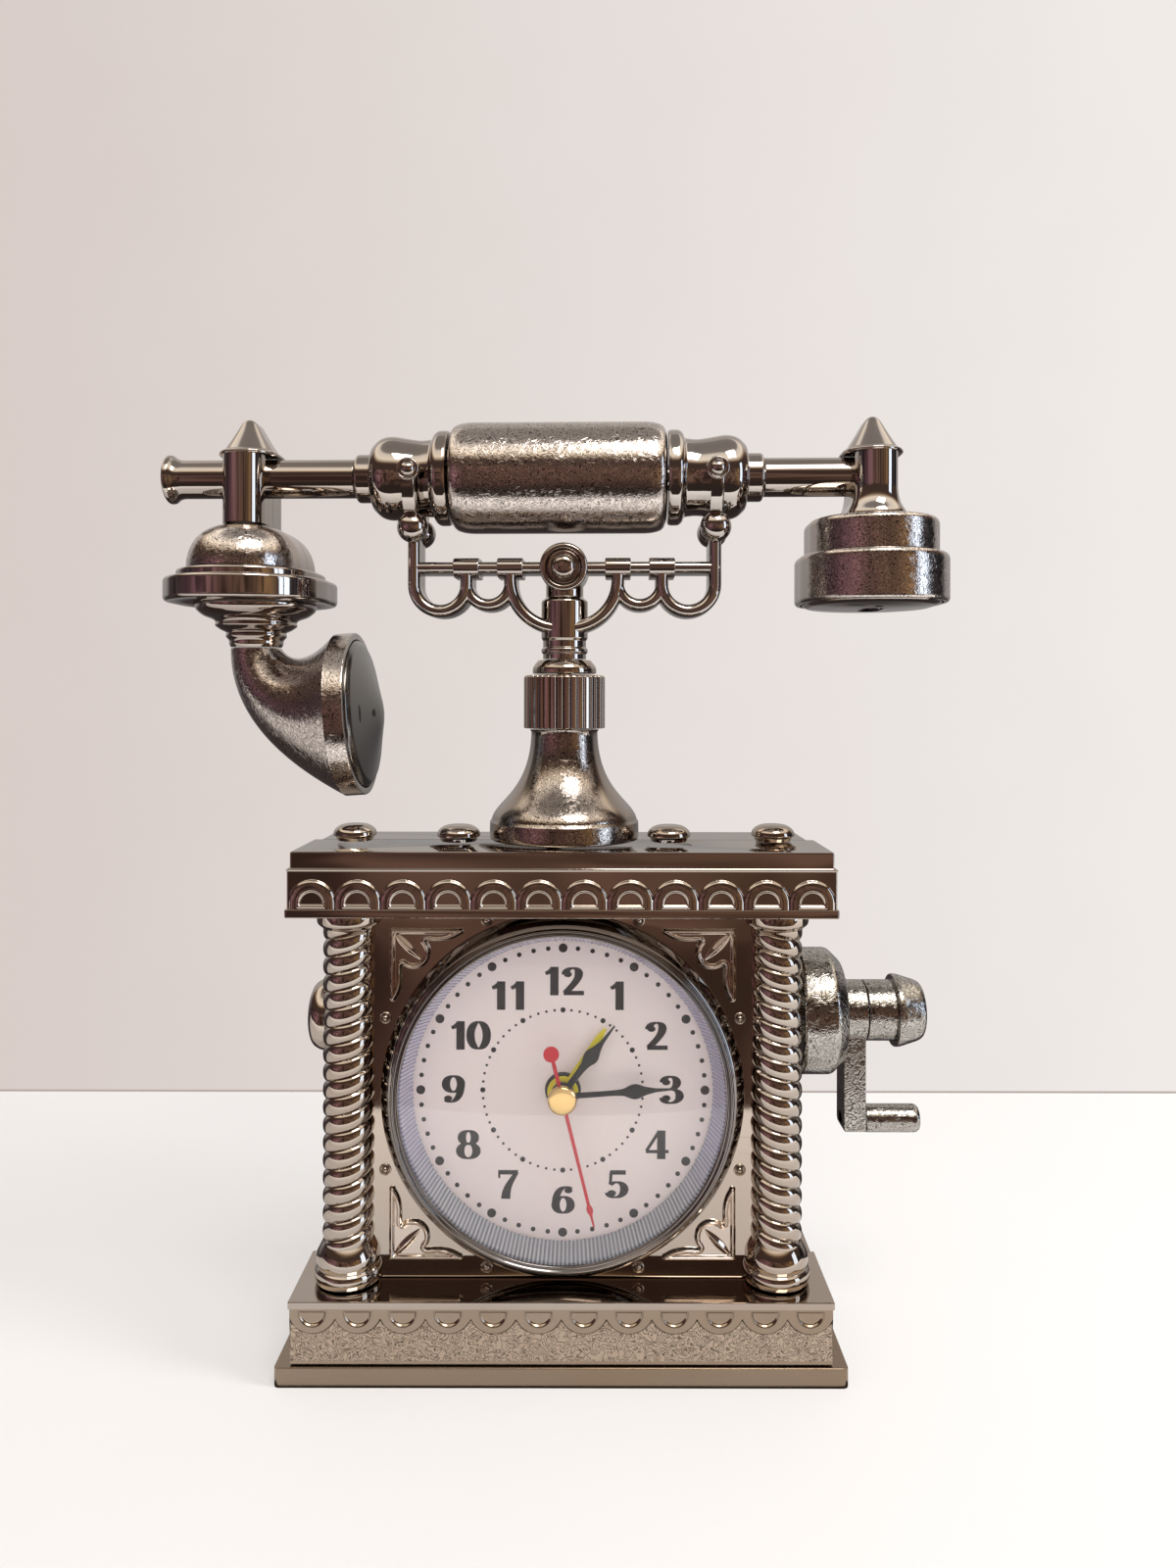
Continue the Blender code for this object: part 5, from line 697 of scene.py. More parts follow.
ornament_corner = (40.0, 38.3)
bezel_clear = 40.5
u = np.linspace(-0.3, 17.4, 120)
lift = ornament_field(u[None], u[:, None])
nets = []
for side in (-1, 1):
    for rise in (-1, 1):
        leafwork = relief(side * (ornament_corner[0] - u), DIAL + rise * (ornament_corner[1] - u),
                          -(PANEL + lift - 0.03), -(PANEL - 0.5))
        flat = leafwork[..., ::2] - (0.0, DIAL)
        away = np.linalg.norm(flat, axis=-1, keepdims=True)
        leafwork[..., ::2] += flat * (np.maximum(bezel_clear / away, 1.0) - 1.0)
        nets.append(net(leafwork))
made("panel_ornaments", nets, LIT_RELIEF, "case", edge=60.0)

rivet = rounded([(1.42, -0.3, 0), (1.4, 0.12, 0.1), (1.15, 0.28, 0.1), (0.95, 0.0, 0.1), (0.75, 0.0, 0.05),
                 (0.72, 0.55, 0.4), (0.0, 0.95, 0)], 5)
nets = []
for side in (-1, 1):
    for across, rise in ((17.5, 40.0), (40.9, 17.5)):
        for tall in (-1, 1):
            place = (side * across, -PANEL, DIAL + tall * rise)
            nets.append(net(towards_front(spun(rivet, 36), place)))
made("panel_rivets", nets, BRIGHT, "case", edge=50.0)


# Columns and studs
def rope_column(side):
    """Twisted shaft between a turned foot and capital: its radius dips between the two strands.

    Inside the case it is cut back to one depth, so that it stays behind the front panel.
    """
    low, high, pitch = ROPE
    z = np.linspace(low - 0.5, high + 0.5, 420)[:, None]
    t = round_angles(96)
    turn = np.mod((z - low) / pitch + side * t / math.pi, 1.0)
    strand = np.sqrt(np.clip(1 - (2 * turn - 1) ** 2, 0.0, 1.0))
    r = COLUMN[2] - 0.95 * (1 - strand)
    shaft = capped(np.stack([r * np.cos(t), r * np.sin(t), z + 0 * t], -1))
    foot = rounded([(6.4, 19.4, 0), (7.3, 19.5, 0.3), (7.75, 20.9, 0.8), (7.5, 22.3, 0.7), (6.9, 22.9, 0.2),
                    (7.3, 24.2, 0.8), (7.05, 26.0, 1.0), (6.2, 27.6, 0.8), (5.5, 28.6, 0)], 7)
    head = rounded([(5.5, 99.8, 0), (6.3, 100.6, 0.4), (7.2, 101.3, 0.6), (7.3, 102.6, 0.4), (7.3, 103.5, 0.3),
                    (7.0, 103.8, 0)], 7)
    nets = []
    for points in (shaft, spun(foot), spun(head)):
        points = points + (side * COLUMN[0], COLUMN[1], 0.0)
        within = np.abs(points[..., 0]) < CASE - 1.0
        points[..., 1] = np.where(within, np.minimum(points[..., 1], -8.0), points[..., 1])
        nets.append(net(points))
    return nets


for name, side in (("column_left", -1), ("column_right", 1)):
    dressed(name, rope_column(side), BRIGHT, "case", edge=50.0)

stud = rounded([(4.2, 0.0, 0), (4.6, 0.9, 0.3), (5.2, 1.2, 0.3), (4.9, 2.6, 1.0), (3.2, 3.8, 1.2),
                (0.0, 4.0, 0)], 8)
for name, across, along in (("left_outer", -50.0, 0.0), ("left_inner", -25.0, -1.7),
                            ("right_inner", 25.0, -1.7), ("right_outer", 50.0, 0.0)):
    place = np.array([across, along, TOP + GAP])
    dressed("stud_" + name, [net(spun(stud, 64) + place)], BRIGHT, "case")

# Bezel, lens, fluted ring and dial, turned about the dial's axis
bezel = rounded([(38.9, 6.8, 0), (38.9, 10.1, 0), (41.85, 10.1, 0.1), (41.85, 11.0, 0.4), (40.9, 12.7, 0.6),
                 (39.7, 14.3, 0.6), (39.0, 14.6, 0.2), (38.85, 15.35, 0.25), (38.4, 15.5, 0.2),
                 (38.05, 15.05, 0.15), (37.75, 15.4, 0.2), (37.3, 15.3, 0.15), (37.2, 14.95, 0),
                 (37.9, 14.9, 0), (37.9, 6.8, 0)], 5)
dressed("bezel", [net(towards_front(turned(bezel, 240)), along=True)], SHADED_BEZEL_SKIN, "case", edge=50.0)

lens = np.vstack([curve([(0.0, 15.8), (20.0, 15.8), (37.6, 13.8)], 14),
                  curve([(37.6, 14.6), (20.0, 16.6), (0.0, 16.6)], 14)])
dressed("lens", [net(towards_front(spun(lens, 160)))], GLASS, "case")


def clear_ring():
    """Turned ring whose radius goes by |cos| of the angle in its flutes, and by |sin| in the beads below."""
    t = round_angles(1800)
    r, h, fluted, beaded = np.array([
        (37.6, 13.5, 0, 0), (36.95, 13.5, 1, 0), (36.2, 11.2, 1, 0), (35.5, 9.0, 1, 0), (35.0, 7.9, 1, 0),
        (34.75, 7.35, 0, 1), (37.6, 7.3, 0, 0)]).T[..., None]
    flutes = 0.20 * np.abs(np.cos(FLUTES / 2 * t)) - 0.10
    r = r + fluted * flutes + beaded * 0.22 * np.abs(np.sin(BEADS / 2 * t))
    return np.stack([r * np.cos(t), r * np.sin(t), h + 0 * t], -1)


dressed("fluted_ring", [net(towards_front(clear_ring()), along=True)], RING, "case", edge=30.0)

dial = rounded([(4.2, 6.95, 0), (37.6, 6.95, 0), (37.6, 6.45, 0), (4.2, 6.45, 0)], 1)
dressed("dial_plate", [net(towards_front(turned(dial, 160)), along=True)], CARD, "case")


# Printed dots and numerals
def pad(outline, low, high):
    """Flat outline (a, b) as a thin raised pad."""
    flat = np.stack([outline, outline])
    level = np.broadcast_to(np.array([low, high])[:, None, None], flat.shape[:2] + (1,))
    return net(towards_front(capped(np.concatenate([flat, level], -1))))


def pen(path, thick=0.205, thin=0.065, ends=(1.0, 1.0)):
    """Pen stroke along a path: thin where it runs across, and thick where it runs upright.

    Each of its sections lies across the path, so that a bent or closed stroke stays flat.
    """
    run = heading(path)
    half = (thin + (thick - thin) * np.abs(run[:, 1:]) ** 1.7) / 2
    taper = np.linspace(ends[0], ends[1], len(path))[:, None]
    side = np.stack([-run[:, 1], run[:, 0]], -1) * half * taper
    return np.stack([path + side, path - side, path - side, path + side], 1)


def oval(centre, rx, ry):
    """Closed pen stroke."""
    return pen(arc(centre, (rx, ry), steps=40))


def bar(start, end, thick=0.205, thin=0.065):
    """Pen stroke that runs straight from start to end."""
    t = np.linspace(0.0, 1.0, 13)[:, None]
    return pen((1 - t) * np.array(start) + t * np.array(end), thick, thin)


def blob(centre, radius):
    """Round end of a pen stroke: a stroke as long as it is wide."""
    a = np.linspace(-math.pi / 2, math.pi / 2, 13)
    path = np.stack([centre[0] + radius * np.sin(a), centre[1] + 0 * a], -1)
    side = np.stack([0 * a, radius * np.cos(a)], -1)
    return np.stack([path + side, path - side, path - side, path + side], 1)


FIGURES = {
    "0": [oval((0, .5), .2, .455)],
    "1": [bar((.05, .0), (.05, .99)),
          pen(curve([(-.17, .76), (-.08, .78), (.0, .90), (.04, .96)], 12), .15, .11)],
    "2": [blob((-.145, .73), .1), bar((-.25, .08), (.25, .08), .15, .15),
          pen(curve([(-.2, .72), (-.2, 1.08), (.3, 1.08), (.23, .62), (.0, .42), (-.2, .08)], 40))],
    "3": [blob((-.14, .77), .1), blob((-.14, .22), .105),
          pen(curve([(-.2, .77), (-.2, 1.08), (.24, 1.08), (.2, .6), (-.03, .53)], 32)),
          pen(curve([(-.03, .53), (.3, .52), (.34, -.02), (-.2, -.1), (-.21, .24)], 36))],
    "4": [bar((.1, .0), (.1, .99)), bar((.05, .97), (-.26, .29), .085, .07),
          bar((-.28, .26), (.28, .26), .11, .11)],
    "5": [bar((-.17, .92), (.21, .92), .15, .15), bar((-.15, .95), (-.17, .5), .075, .06),
          pen(curve([(-.17, .5), (.02, .72), (.36, .56), (.3, -.1), (-.2, -.06), (-.2, .22)], 44)),
          blob((-.135, .2), .105)],
    "6": [oval((.01, .3), .185, .27), blob((.14, .8), .1),
          pen(curve([(-.17, .3), (-.2, .75), (.02, 1.05), (.2, .85)], 30), .18, .06)],
    "7": [bar((-.24, .92), (.24, .92), .15, .15), bar((-.22, .98), (-.22, .72), .05, .05),
          pen(curve([(.2, .92), (.08, .6), (-.05, .45), (-.06, .0)], 28), .2, .08, (.6, 1.15))],
    "8": [oval((0, .735), .16, .225), oval((0, .275), .2, .255)],
    "9": [oval((-.01, .7), .185, .27), blob((-.14, .2), .1),
          pen(curve([(.17, .7), (.2, .25), (-.02, -.05), (-.2, .15)], 30), .18, .06)],
}
FIGURE_WIDE = 1.42
FIGURE_APART = {"12": 5.0, "10": 4.7, "11": 4.4}
INK_LOW, INK_HIGH = 6.9, 7.02


def print_nets():
    """Numerals on their ring, upright and centred, and the two rings of dots."""
    nets = []
    level = np.array([INK_LOW, INK_LOW, INK_HIGH, INK_HIGH])[None, :, None]
    for hour in range(1, 13):
        angle = math.radians(30 * hour)
        word = str(hour)
        for spot, figure in enumerate(word):
            aside = (spot - (len(word) - 1) / 2) * FIGURE_APART.get(word, 0.0)
            corner = (FIGURE_RING * math.sin(angle) + aside, FIGURE_RING * math.cos(angle) - FIGURE_TALL / 2)
            for section in FIGURES[figure]:
                flat = section * (FIGURE_WIDE * FIGURE_TALL, FIGURE_TALL) + corner
                depth = np.broadcast_to(level, flat.shape[:2] + (1,))
                nets.append(net(towards_front(capped(np.concatenate([flat, depth], -1)))))
    for radius, big, small in DOTS:
        for mark in range(60):
            angle = math.radians(6 * mark)
            size, sides = (small, 12) if mark % 5 else (big, 24)
            spot = (radius * math.sin(angle), radius * math.cos(angle))
            nets.append(pad(arc(spot, size, 0, 330, sides), INK_LOW, INK_HIGH))
    return nets


made("dial_print", print_nets(), INK, "case", edge=30.0)


# Hands
def hand_net(angle, rear, widths, hub, bore):
    """Flat blade of the half widths given along its length, turned clockwise by the angle, with a round hub."""
    along, half = np.asarray(widths, float).T
    t = np.linspace(0, len(along) - 1, 8 * (len(along) - 1) + 1)
    y = np.interp(t, np.arange(len(along)), along)
    w = np.interp(t, np.arange(len(along)), half)
    w = np.convolve(np.pad(w, 2, "edge"), np.ones(5) / 5, "valid")
    section = np.array([(-1, 0.1), (-0.8, 0.34), (0, 0.42), (0.8, 0.34), (1, 0.1), (0.8, 0.06), (-0.8, 0.06)])
    flat = np.stack([w[:, None] * section[None, :, 0], y[:, None] + 0 * section[None, :, 0],
                     rear + 0.03 + section[None, :, 1] + 0 * w[:, None]], -1)
    c, s = math.cos(-angle), math.sin(-angle)
    a, b = flat[..., 0], flat[..., 1]
    flat = np.stack([a * c - b * s, a * s + b * c, flat[..., 2]], -1)
    eye = rounded([(bore, rear, 0), (hub, rear, 0.05), (hub, rear + 0.42, 0.1), (hub - 0.2, rear + 0.5, 0.05),
                   (bore, rear + 0.5, 0)], 4)
    return [net(towards_front(capped(flat))), net(towards_front(turned(eye, 48)), along=True)]


for name, angle, rear, widths, hub, bore, finish, body in (
        ("alarm_hand", 34.0, 8.05, [(0, .85), (15.0, .85), (17.7, .3)], 3.6, 2.5, YELLOW, "alarm"),
        ("hour_hand", 37.3, 9.65, [(0, .75), (6.5, .75), (8.6, 1.0), (10.4, 1.75), (11.4, 1.7), (13.0, 1.0),
                                   (15.0, .5), (19.8, .18)], 2.7, 1.7, BLACK, "hours"),
        ("minute_hand", 86.0, 11.25, [(0, .7), (11.5, .62), (14.0, .8), (16.0, 1.7), (17.2, 1.75), (19.0, 1.0),
                                      (21.5, .45), (26.0, .16)], 2.2, 0.9, BLACK, "minutes")):
    dressed(name, hand_net(math.radians(angle), rear, widths, hub, bore), finish, body)
angle = math.radians(166.0)
second_hand = [(-9.2, .45), (0, .45), (24.8, .35), (25.6, .72), (26.4, .72), (27.3, .3), (30.0, .2)]
weight = arc((-10.5 * math.sin(angle), -10.5 * math.cos(angle)), 1.8, 0, 345, 24)
dressed("second_hand", hand_net(angle, 12.85, second_hand, 1.6, 0.02) + [pad(weight, 12.9, 13.3)], RED,
        "seconds")
cap = rounded([(3.2, 13.65, 0), (3.35, 13.75, 0.1), (3.3, 14.5, 0.4), (2.6, 15.0, 0.8), (0.0, 15.25, 0)], 8)
dressed("hand_cap", [net(towards_front(spun(cap, 64)))], GOLD, "seconds")

# Stem
stem = np.array([0.0, SEAM, 0.0])
bell = np.vstack([rounded([(17.0, 119.0, 0), (17.9, 119.1, 0.4), (18.0, 120.0, 0.6), (17.9, 123.3, 0.8)], 6),
                  curve([(17.5, 123.9), (16.6, 128.4), (8.3, 130.5), (8.0, 144.8)], 40),
                  [(8.35, 145.4)]])
dressed("stem_bell", [net(spun(bell, 128) + stem)], BELL_SKIN, "case")
ribs = 36
t = round_angles(ribs * 12)
rib = 1 - np.abs(np.mod(ribs * t / (2 * math.pi), 1.0) * 2 - 1)
rib = np.clip(rib * 2.4, 0.0, 1.0) ** 0.6
level = rounded([(0.955, 145.7, 0), (1.0, 145.8, 0.1), (1.0, 158.1, 0.4), (0.94, 158.5, 0.1),
                 (0.8, 158.5, 0)], 4)
r = 9.8 * (level[:, :1] - 0.06 * (1 - rib))
nut = np.stack([r * np.cos(t), r * np.sin(t), level[:, 1:] + 0 * t], -1)
dressed("knurled_nut", [net(capped(nut) + stem)], BRIGHT, "case", edge=40.0)
collar = rounded([(7.0, 158.8, 0), (7.7, 158.9, 0.3), (7.7, 160.2, 0.5), (7.1, 161.2, 0.6), (6.3, 162.1, 0.2),
                  (5.0, 162.1, 0)], 8)
dressed("stem_collar", [net(spun(collar) + stem)], BRIGHT, "case")


# Cradle: two mouldings that meet on the seam plane
def bar_section(width, depth, steps=9):
    """Half oval: straight sides from the seam gap, then a half ellipse."""
    a = np.linspace(0.0, math.pi, steps)
    nose = min(width * 0.55, depth * 0.6)
    top = np.stack([width / 2 * np.cos(a), depth - nose + nose * np.sin(a)], -1)
    return np.vstack([[(width / 2, GAP / 2)], top, [(-width / 2, GAP / 2)]])


def scrolls():
    """Middle line (x, z), width and depth of the bars to one side, and where along them the two sleeves sit."""
    outer, loop, second, sweep = SCROLL
    joint = outer - 2 * loop
    end = joint - 2 * second
    first = np.vstack([[(outer, BOSS + UPRIGHT), (outer, BOSS + 3)],
                       arc((outer - loop, BOSS - loop * 0.65), loop, 0, -180, 26), [(joint, BOSS)]])
    middle = np.vstack([[(joint, BOSS)], arc((joint - second, BOSS - second * 0.7), second, 0, -180, 24),
                        [(end, BOSS)]])
    last = np.vstack([[(end, BOSS)], arc((end - sweep, BOSS - sweep * 0.25), sweep, 0, -84, 24)])
    level = np.array([(outer + 0.6, BOSS), (outer / 2, BOSS), (3.0, BOSS)])
    return ((first, 3.1, 5.0), (middle, 2.9, 4.8), (last, 3.1, 5.0), (level, 2.8, 4.7)), (joint, end)


def outward(points, side, across, height):
    """Spun about Z before, standing out from the seam plane now, to the front (-1) or the rear (1)."""
    return np.stack([points[..., 0] + across, side * points[..., 2], points[..., 1] + height], -1)


def upright_nets(hand, side):
    """Ball on top of an outer upright, prong round the handset and button on the prong."""
    across = hand * SCROLL[0]
    a = np.radians(np.linspace(-90, 90, 25))
    ball = spun(np.stack([3.7 * np.cos(a), 3.7 * np.sin(a)], -1), 48) + (across, side * 5.6, BOSS + UPRIGHT)
    ball[..., 1] = side * np.maximum(side * ball[..., 1], GAP / 2)
    lean = np.radians(np.linspace(26, 92, 24))[:, None]
    section = rounded([(0.5, -0.5, 0.1), (0.5, 0.5, 0.3), (-0.5, 0.5, 0.1), (-0.5, -0.5, 0.3),
                       (0.5, -0.5, 0)], 5)
    radius = 11.6 + section[None, :, 0] * 2.2
    prong = np.stack([across + section[None, :, 1] * 3.1 + 0 * lean, side * radius * np.sin(lean),
                      HANDSET - radius * np.cos(lean)], -1)
    button = rounded([(2.7, 10.9, 0), (2.7, 12.6, 0.3), (2.3, 12.9, 0.3), (1.9, 12.5, 0.2), (1.3, 13.3, 0.6),
                      (0.0, 13.85, 0)], 6)
    return [net(ball), net(capped(prong)), net(outward(spun(button, 40), side, across, HANDSET))]


def cradle_nets(side):
    """All bars, sleeves, balls, prongs and buttons of one moulding, its boss and its half of the post."""
    nets = []
    bars, sleeves = scrolls()
    for hand in (-1, 1):
        for path, width, depth in bars:
            nets.append(net(carried(path, bar_section(width, depth)) * (hand, side, 1)))
        for across in sleeves:
            sleeve = lozenge(bar_section(4.8, 5.6, 11), across - 3.05, across + 3.05, 0.3)
            nets.append(net(sleeve[..., ::-1] * (hand, side, 1) + (0.0, 0.0, BOSS)))
        nets += upright_nets(hand, side)
    boss = rounded([(5.8, GAP / 2, 0), (5.8, 5.5, 0.5), (5.3, 6.0, 0.4), (4.5, 6.0, 0.4), (3.9, 5.0, 0.3),
                    (3.1, 4.9, 0.1), (3.1, 6.5, 1.2), (1.9, 7.9, 1.2), (0.0, 7.95, 0)], 7)
    nets.append(net(outward(spun(boss, 72), side, 0.0, BOSS)))
    post = rounded([(5.2, 162.4, 0), (5.2, 163.6, 0.1), (5.6, 164.0, 0.2), (5.6, 164.8, 0.2), (5.2, 165.2, 0.1),
                    (5.2, 166.8, 0.1), (5.6, 167.4, 0.2), (5.6, 176.4, 0.4), (4.5, 177.2, 0.4),
                    (4.5, 184.0, 0)], 5)
    t = np.linspace(0.0, math.pi, 41)[None]
    r, h = post[:, :1], post[:, 1:]
    shell = np.stack([r * np.cos(t), np.maximum(r * np.sin(t), GAP / 2), h + 0 * t], -1)
    nets.append(net(capped(shell) * (1, side, 1)))
    return [(swivelled(corners), faces) for corners, faces in nets]


dressed("cradle_front", cradle_nets(-1), HAND_SMOOTH, "cradle", edge=40.0)
dressed("cradle_rear", cradle_nets(1), HAND_SMOOTH, "cradle", edge=40.0)

# Handset
MIDDLE = np.array([SHIFT, 0.0, 0.0])
LEFT = np.array([SHIFT - POST, 0.0, 0.0])
RIGHT = np.array([SHIFT + POST, 0.0, 0.0])


def lying(profile, steps):
    """Points of a profile turned about the grip's axis."""
    return swivelled(along_x(turned(profile, steps), MIDDLE + (0.0, 0.0, HANDSET)))


def standing(profile, steps, stretch, spot):
    """Net of a closed profile turned about the upright axis at a spot."""
    return net(swivelled(spun(profile, steps, stretch) + spot))


grip = rounded([(3.3, -25.9, 0), (10.4, -25.9, 0.5), (12.4, -25.2, 1.2), (13.3, -22.4, 2.4), (13.3, 22.4, 2.4),
                (12.4, 25.2, 1.2), (10.4, 25.9, 0.5), (3.3, 25.9, 0)], 10)
dressed("handset_grip", [net(lying(grip, 128), along=True)], HAND_GRAIN, "handset")
ends = rounded([(3.3, 26.2, 0), (11.1, 26.2, 0.2), (11.4, 26.8, 0.4), (11.4, 28.8, 0.6), (10.7, 29.7, 0.4),
                (9.4, 30.2, 0.5), (9.0, 33.0, 1.4), (9.5, 36.4, 1.6), (10.2, 40.2, 2.2), (9.6, 42.9, 1.2),
                (7.6, 45.0, 0.8), (5.8, 45.2, 0.2), (5.8, 48.6, 0.4), (5.3, 49.0, 0.2), (3.3, 49.0, 0)], 8)
for name, side in (("handset_end_left", -1), ("handset_end_right", 1)):
    dressed(name, [net(lying(ends * (1, side), 112), along=True)], HAND_SMOOTH, "handset")

rod = [(0.0, 12.0, 0), (3.0, 12.0, 0), (3.0, 49.3, 0), (4.65, 49.3, 0.2)]
ROD_END = [(4.65, 91.9, 0.7), (5.0, 93.2, 0.5), (5.85, 94.2, 0.3), (5.95, 95.1, 0.35), (5.5, 95.5, 0.3),
           (4.5, 95.3, 0.5), (0.0, 94.7, 0)]
left_post = rounded([(0.0, 4.5, 0), (5.0, 4.5, 0), (5.0, -11.8, 0), (0.0, -11.8, 0)], 3)
right_post = rounded([(0.0, 4.5, 0), (5.0, 4.5, 0), (5.0, -4.6, 1.4), (5.6, -7.4, 1.2), (7.0, -9.6, 0.8),
                      (7.2, -10.6, 0.1), (0.0, -10.6, 0)], 8)
finial = rounded([(0.0, 0.0, 0), (6.7, 0.0, 0.1), (7.2, 0.3, 0.3), (7.1, 0.95, 0.35), (6.1, 1.25, 0.5),
                  (3.9, 4.6, 1.8), (1.75, 8.3, 0.8), (0.9, 9.05, 0.5), (0.0, 9.2, 0)], 8)
for name, side, spot, tip, post in (("left", -1, LEFT, ROD_END, left_post),
                                    ("right", 1, RIGHT, [(4.65, POST, 0), (0.0, POST, 0)], right_post)):
    across = swivelled(along_x(spun(rounded(rod + tip, 7) * (1, side), 80), MIDDLE + (0.0, 0.0, HANDSET)))
    down = standing(post, 80, 6.0, spot + (0.0, 0.0, HANDSET))
    dressed("arm_" + name, [net(across), down], HAND_SMOOTH, "handset")
    dressed("finial_" + name, [standing(finial, 80, 2.0, spot + (0.0, 0.0, HANDSET + 4.8))], HAND_SMOOTH,
            "handset")

# Transmitter
dome = np.vstack([[(0.0, 194.1)], curve([(5.0, 194.1), (12.0, 192.8), (13.6, 187.4), (13.6, 183.6)], 24),
                  [(0.0, 183.6)]])
dressed("transmitter_dome", [standing(dome, 96, 5.0, LEFT)], HAND_GRAIN, "handset")
plate = rounded([(0.0, 183.3, 0), (16.2, 183.3, 0.4), (16.6, 182.8, 0.3), (16.6, 181.3, 0.1),
                 (19.0, 181.3, 0.4), (19.5, 180.7, 0.4), (19.5, 176.3, 0.4), (19.0, 175.7, 0.4),
                 (0.0, 175.7, 0)], 6)
dressed("transmitter_disc", [standing(plate, 112, 3.0, LEFT)], HAND_SMOOTH, "handset")
bowl = rounded([(0.0, 175.4, 0), (14.4, 175.4, 0.2), (14.2, 174.2, 0.8), (12.4, 172.7, 1.0), (10.0, 171.9, 0.8),
                (9.5, 171.2, 0.3), (9.8, 170.4, 0.4), (8.2, 169.3, 0.5), (7.0, 168.8, 0.3), (7.3, 167.8, 0.5),
                (6.4, 166.9, 0.4), (6.4, 165.9, 0.3), (6.0, 165.2, 0), (0.0, 165.2, 0)], 6)
dressed("transmitter_neck", [standing(bowl, 96, 0.0, LEFT + (1.0, 0.0, 0.0))], HAND_SMOOTH, "handset")


def horn():
    """Circles that span two edge curves in the plane of the horn, then its straight band and the wall inside.

    Returns their points, and the middle of the mouth.
    """
    top, stand = 164.9, LEFT[0] + 1.0
    mouth = np.array([stand + 21.4, top - 16.1])
    rise = np.array([-math.sin(HORN_TILT), math.cos(HORN_TILT)]) * 19.7
    ahead = np.array([math.cos(HORN_TILT), math.sin(HORN_TILT)])
    outer = curve([(stand - 6, top), (stand - 6, top - 13.77), (stand + 3, top - 25.76), mouth - rise], 44)
    inner = curve([(stand + 6, top), (stand + 7.8, top - 3), (stand + 13.2, top - 4.2), mouth + rise], 44)
    band = np.array([0.15, 0.4, 2.3, 4.2, 4.5, 4.6])[:, None] * ahead
    back = [-1, -3, -7, -12, -20]
    outer = np.vstack([outer, mouth - rise + band])
    inner = np.vstack([inner, mouth + rise + band])
    outer = np.vstack([outer, outer[back]])
    inner = np.vstack([inner, inner[back]])
    shrink = np.concatenate([np.zeros(44), [0.05, 0.0, 0.0, 0.0, 0.1, 0.35], [1.6] * len(back)])
    centre = (outer + inner) / 2
    across = (inner - outer) / 2
    radius = np.linalg.norm(across, axis=1) - shrink
    across /= np.linalg.norm(across, axis=1, keepdims=True)
    t = round_angles(96)
    flat = centre[:, None] + across[:, None] * (radius[:, None] * np.cos(t))[..., None]
    return capped(np.stack([flat[..., 0], radius[:, None] * np.sin(t), flat[..., 1]], -1)), mouth + 4.6 * ahead


horn_points, mouth = horn()
dressed("transmitter_horn", [net(swivelled(horn_points))], HAND_GRAIN, "handset")


def on_mouth(points):
    """Turned about Z before, about the mouth's own axis now, Z outwards."""
    c, s = math.sin(HORN_TILT), math.cos(HORN_TILT)
    x, z = points[..., 0] * c + points[..., 2] * s, -points[..., 0] * s + points[..., 2] * c
    return swivelled(np.stack([x, points[..., 1], z], -1) + (mouth[0], 0.0, mouth[1]))


muzzle = rounded([(0.0, -2.07, 0), (MUZZLE_RIM, -2.07, 0), (MUZZLE_RIM, 0.3, 0.3),
                  (MUZZLE_RIM * 0.94, 1.2, 0.8), (MUZZLE_RIM * 0.55, 3.0, 3.0), (MUZZLE_RIM * 0.16, 4.9, 2.2),
                  (0.0, 5.1, 0)], 10)
dressed("mouthpiece_cap", [net(on_mouth(spun(muzzle, 96)))], MUZZLE, "handset")


def marked(profile, spot, half, place):
    """Net of a mark on a turned face: an oval of half sizes about a spot, its height read off the profile."""
    profile = profile[np.argsort(profile[:, 0])]
    t = round_angles(32)
    q = np.array([0.0, 0.6, 0.95, 1.0, 1.0, 0.0])[:, None]
    lift = np.array([0.05, 0.05, 0.05, 0.02, -0.2, -0.2])[:, None]
    x = spot[0] + half[0] * q * np.cos(t)
    y = spot[1] + half[1] * q * np.sin(t)
    h = np.interp(np.hypot(x, y), profile[:, 0], profile[:, 1])
    return net(place(np.stack([x, y, h + lift * np.sign(profile[0, 1] - profile[-1, 1])], -1)))


muzzle_face = muzzle[muzzle[:, 1] > 0.0]
marks = [marked(muzzle_face, (0.0, up), half, on_mouth)
         for up, half in ((-12.4, (2.1, 0.45)), (-5.6, (0.95, 0.95)), (12.4, (2.1, 0.45)), (5.6, (0.95, 0.95)))]
made("mouthpiece_marks", marks, BLACK, "handset", edge=60.0, slot="black_plastic")

# Receiver
upper = rounded([(0.0, 195.3, 0), (14.4, 195.3, 0.6), (15.2, 194.4, 0.8), (15.2, 187.3, 0)], 7)
upper = np.vstack([upper, [(0.0, 187.3)]])
dressed("receiver_upper_cup", [standing(upper, 112, 3.0, RIGHT)], HAND_GRAIN, "handset")
lower = rounded([(0.0, 187.0, 0), (16.8, 187.0, 0.6), (17.5, 186.1, 0.8), (17.5, 176.2, 0.5),
                 (17.1, 175.6, 0.2), (16.2, 175.6, 0.1), (16.0, 185.3, 0), (0.0, 185.4, 0)], 7)
dressed("receiver_lower_cup", [standing(lower, 112, 3.0, RIGHT)], HAND_GRAIN, "handset")
closing = rounded([(0.0, 177.2, 0), (15.7, 177.2, 0), (15.7, 175.5, 0.3), (14.6, 174.9, 0.6), (8.0, 174.4, 3.0),
                   (0.0, 174.2, 0)], 8)
dressed("receiver_cap", [standing(closing, 96, 3.0, RIGHT)], HAND_SMOOTH, "handset")
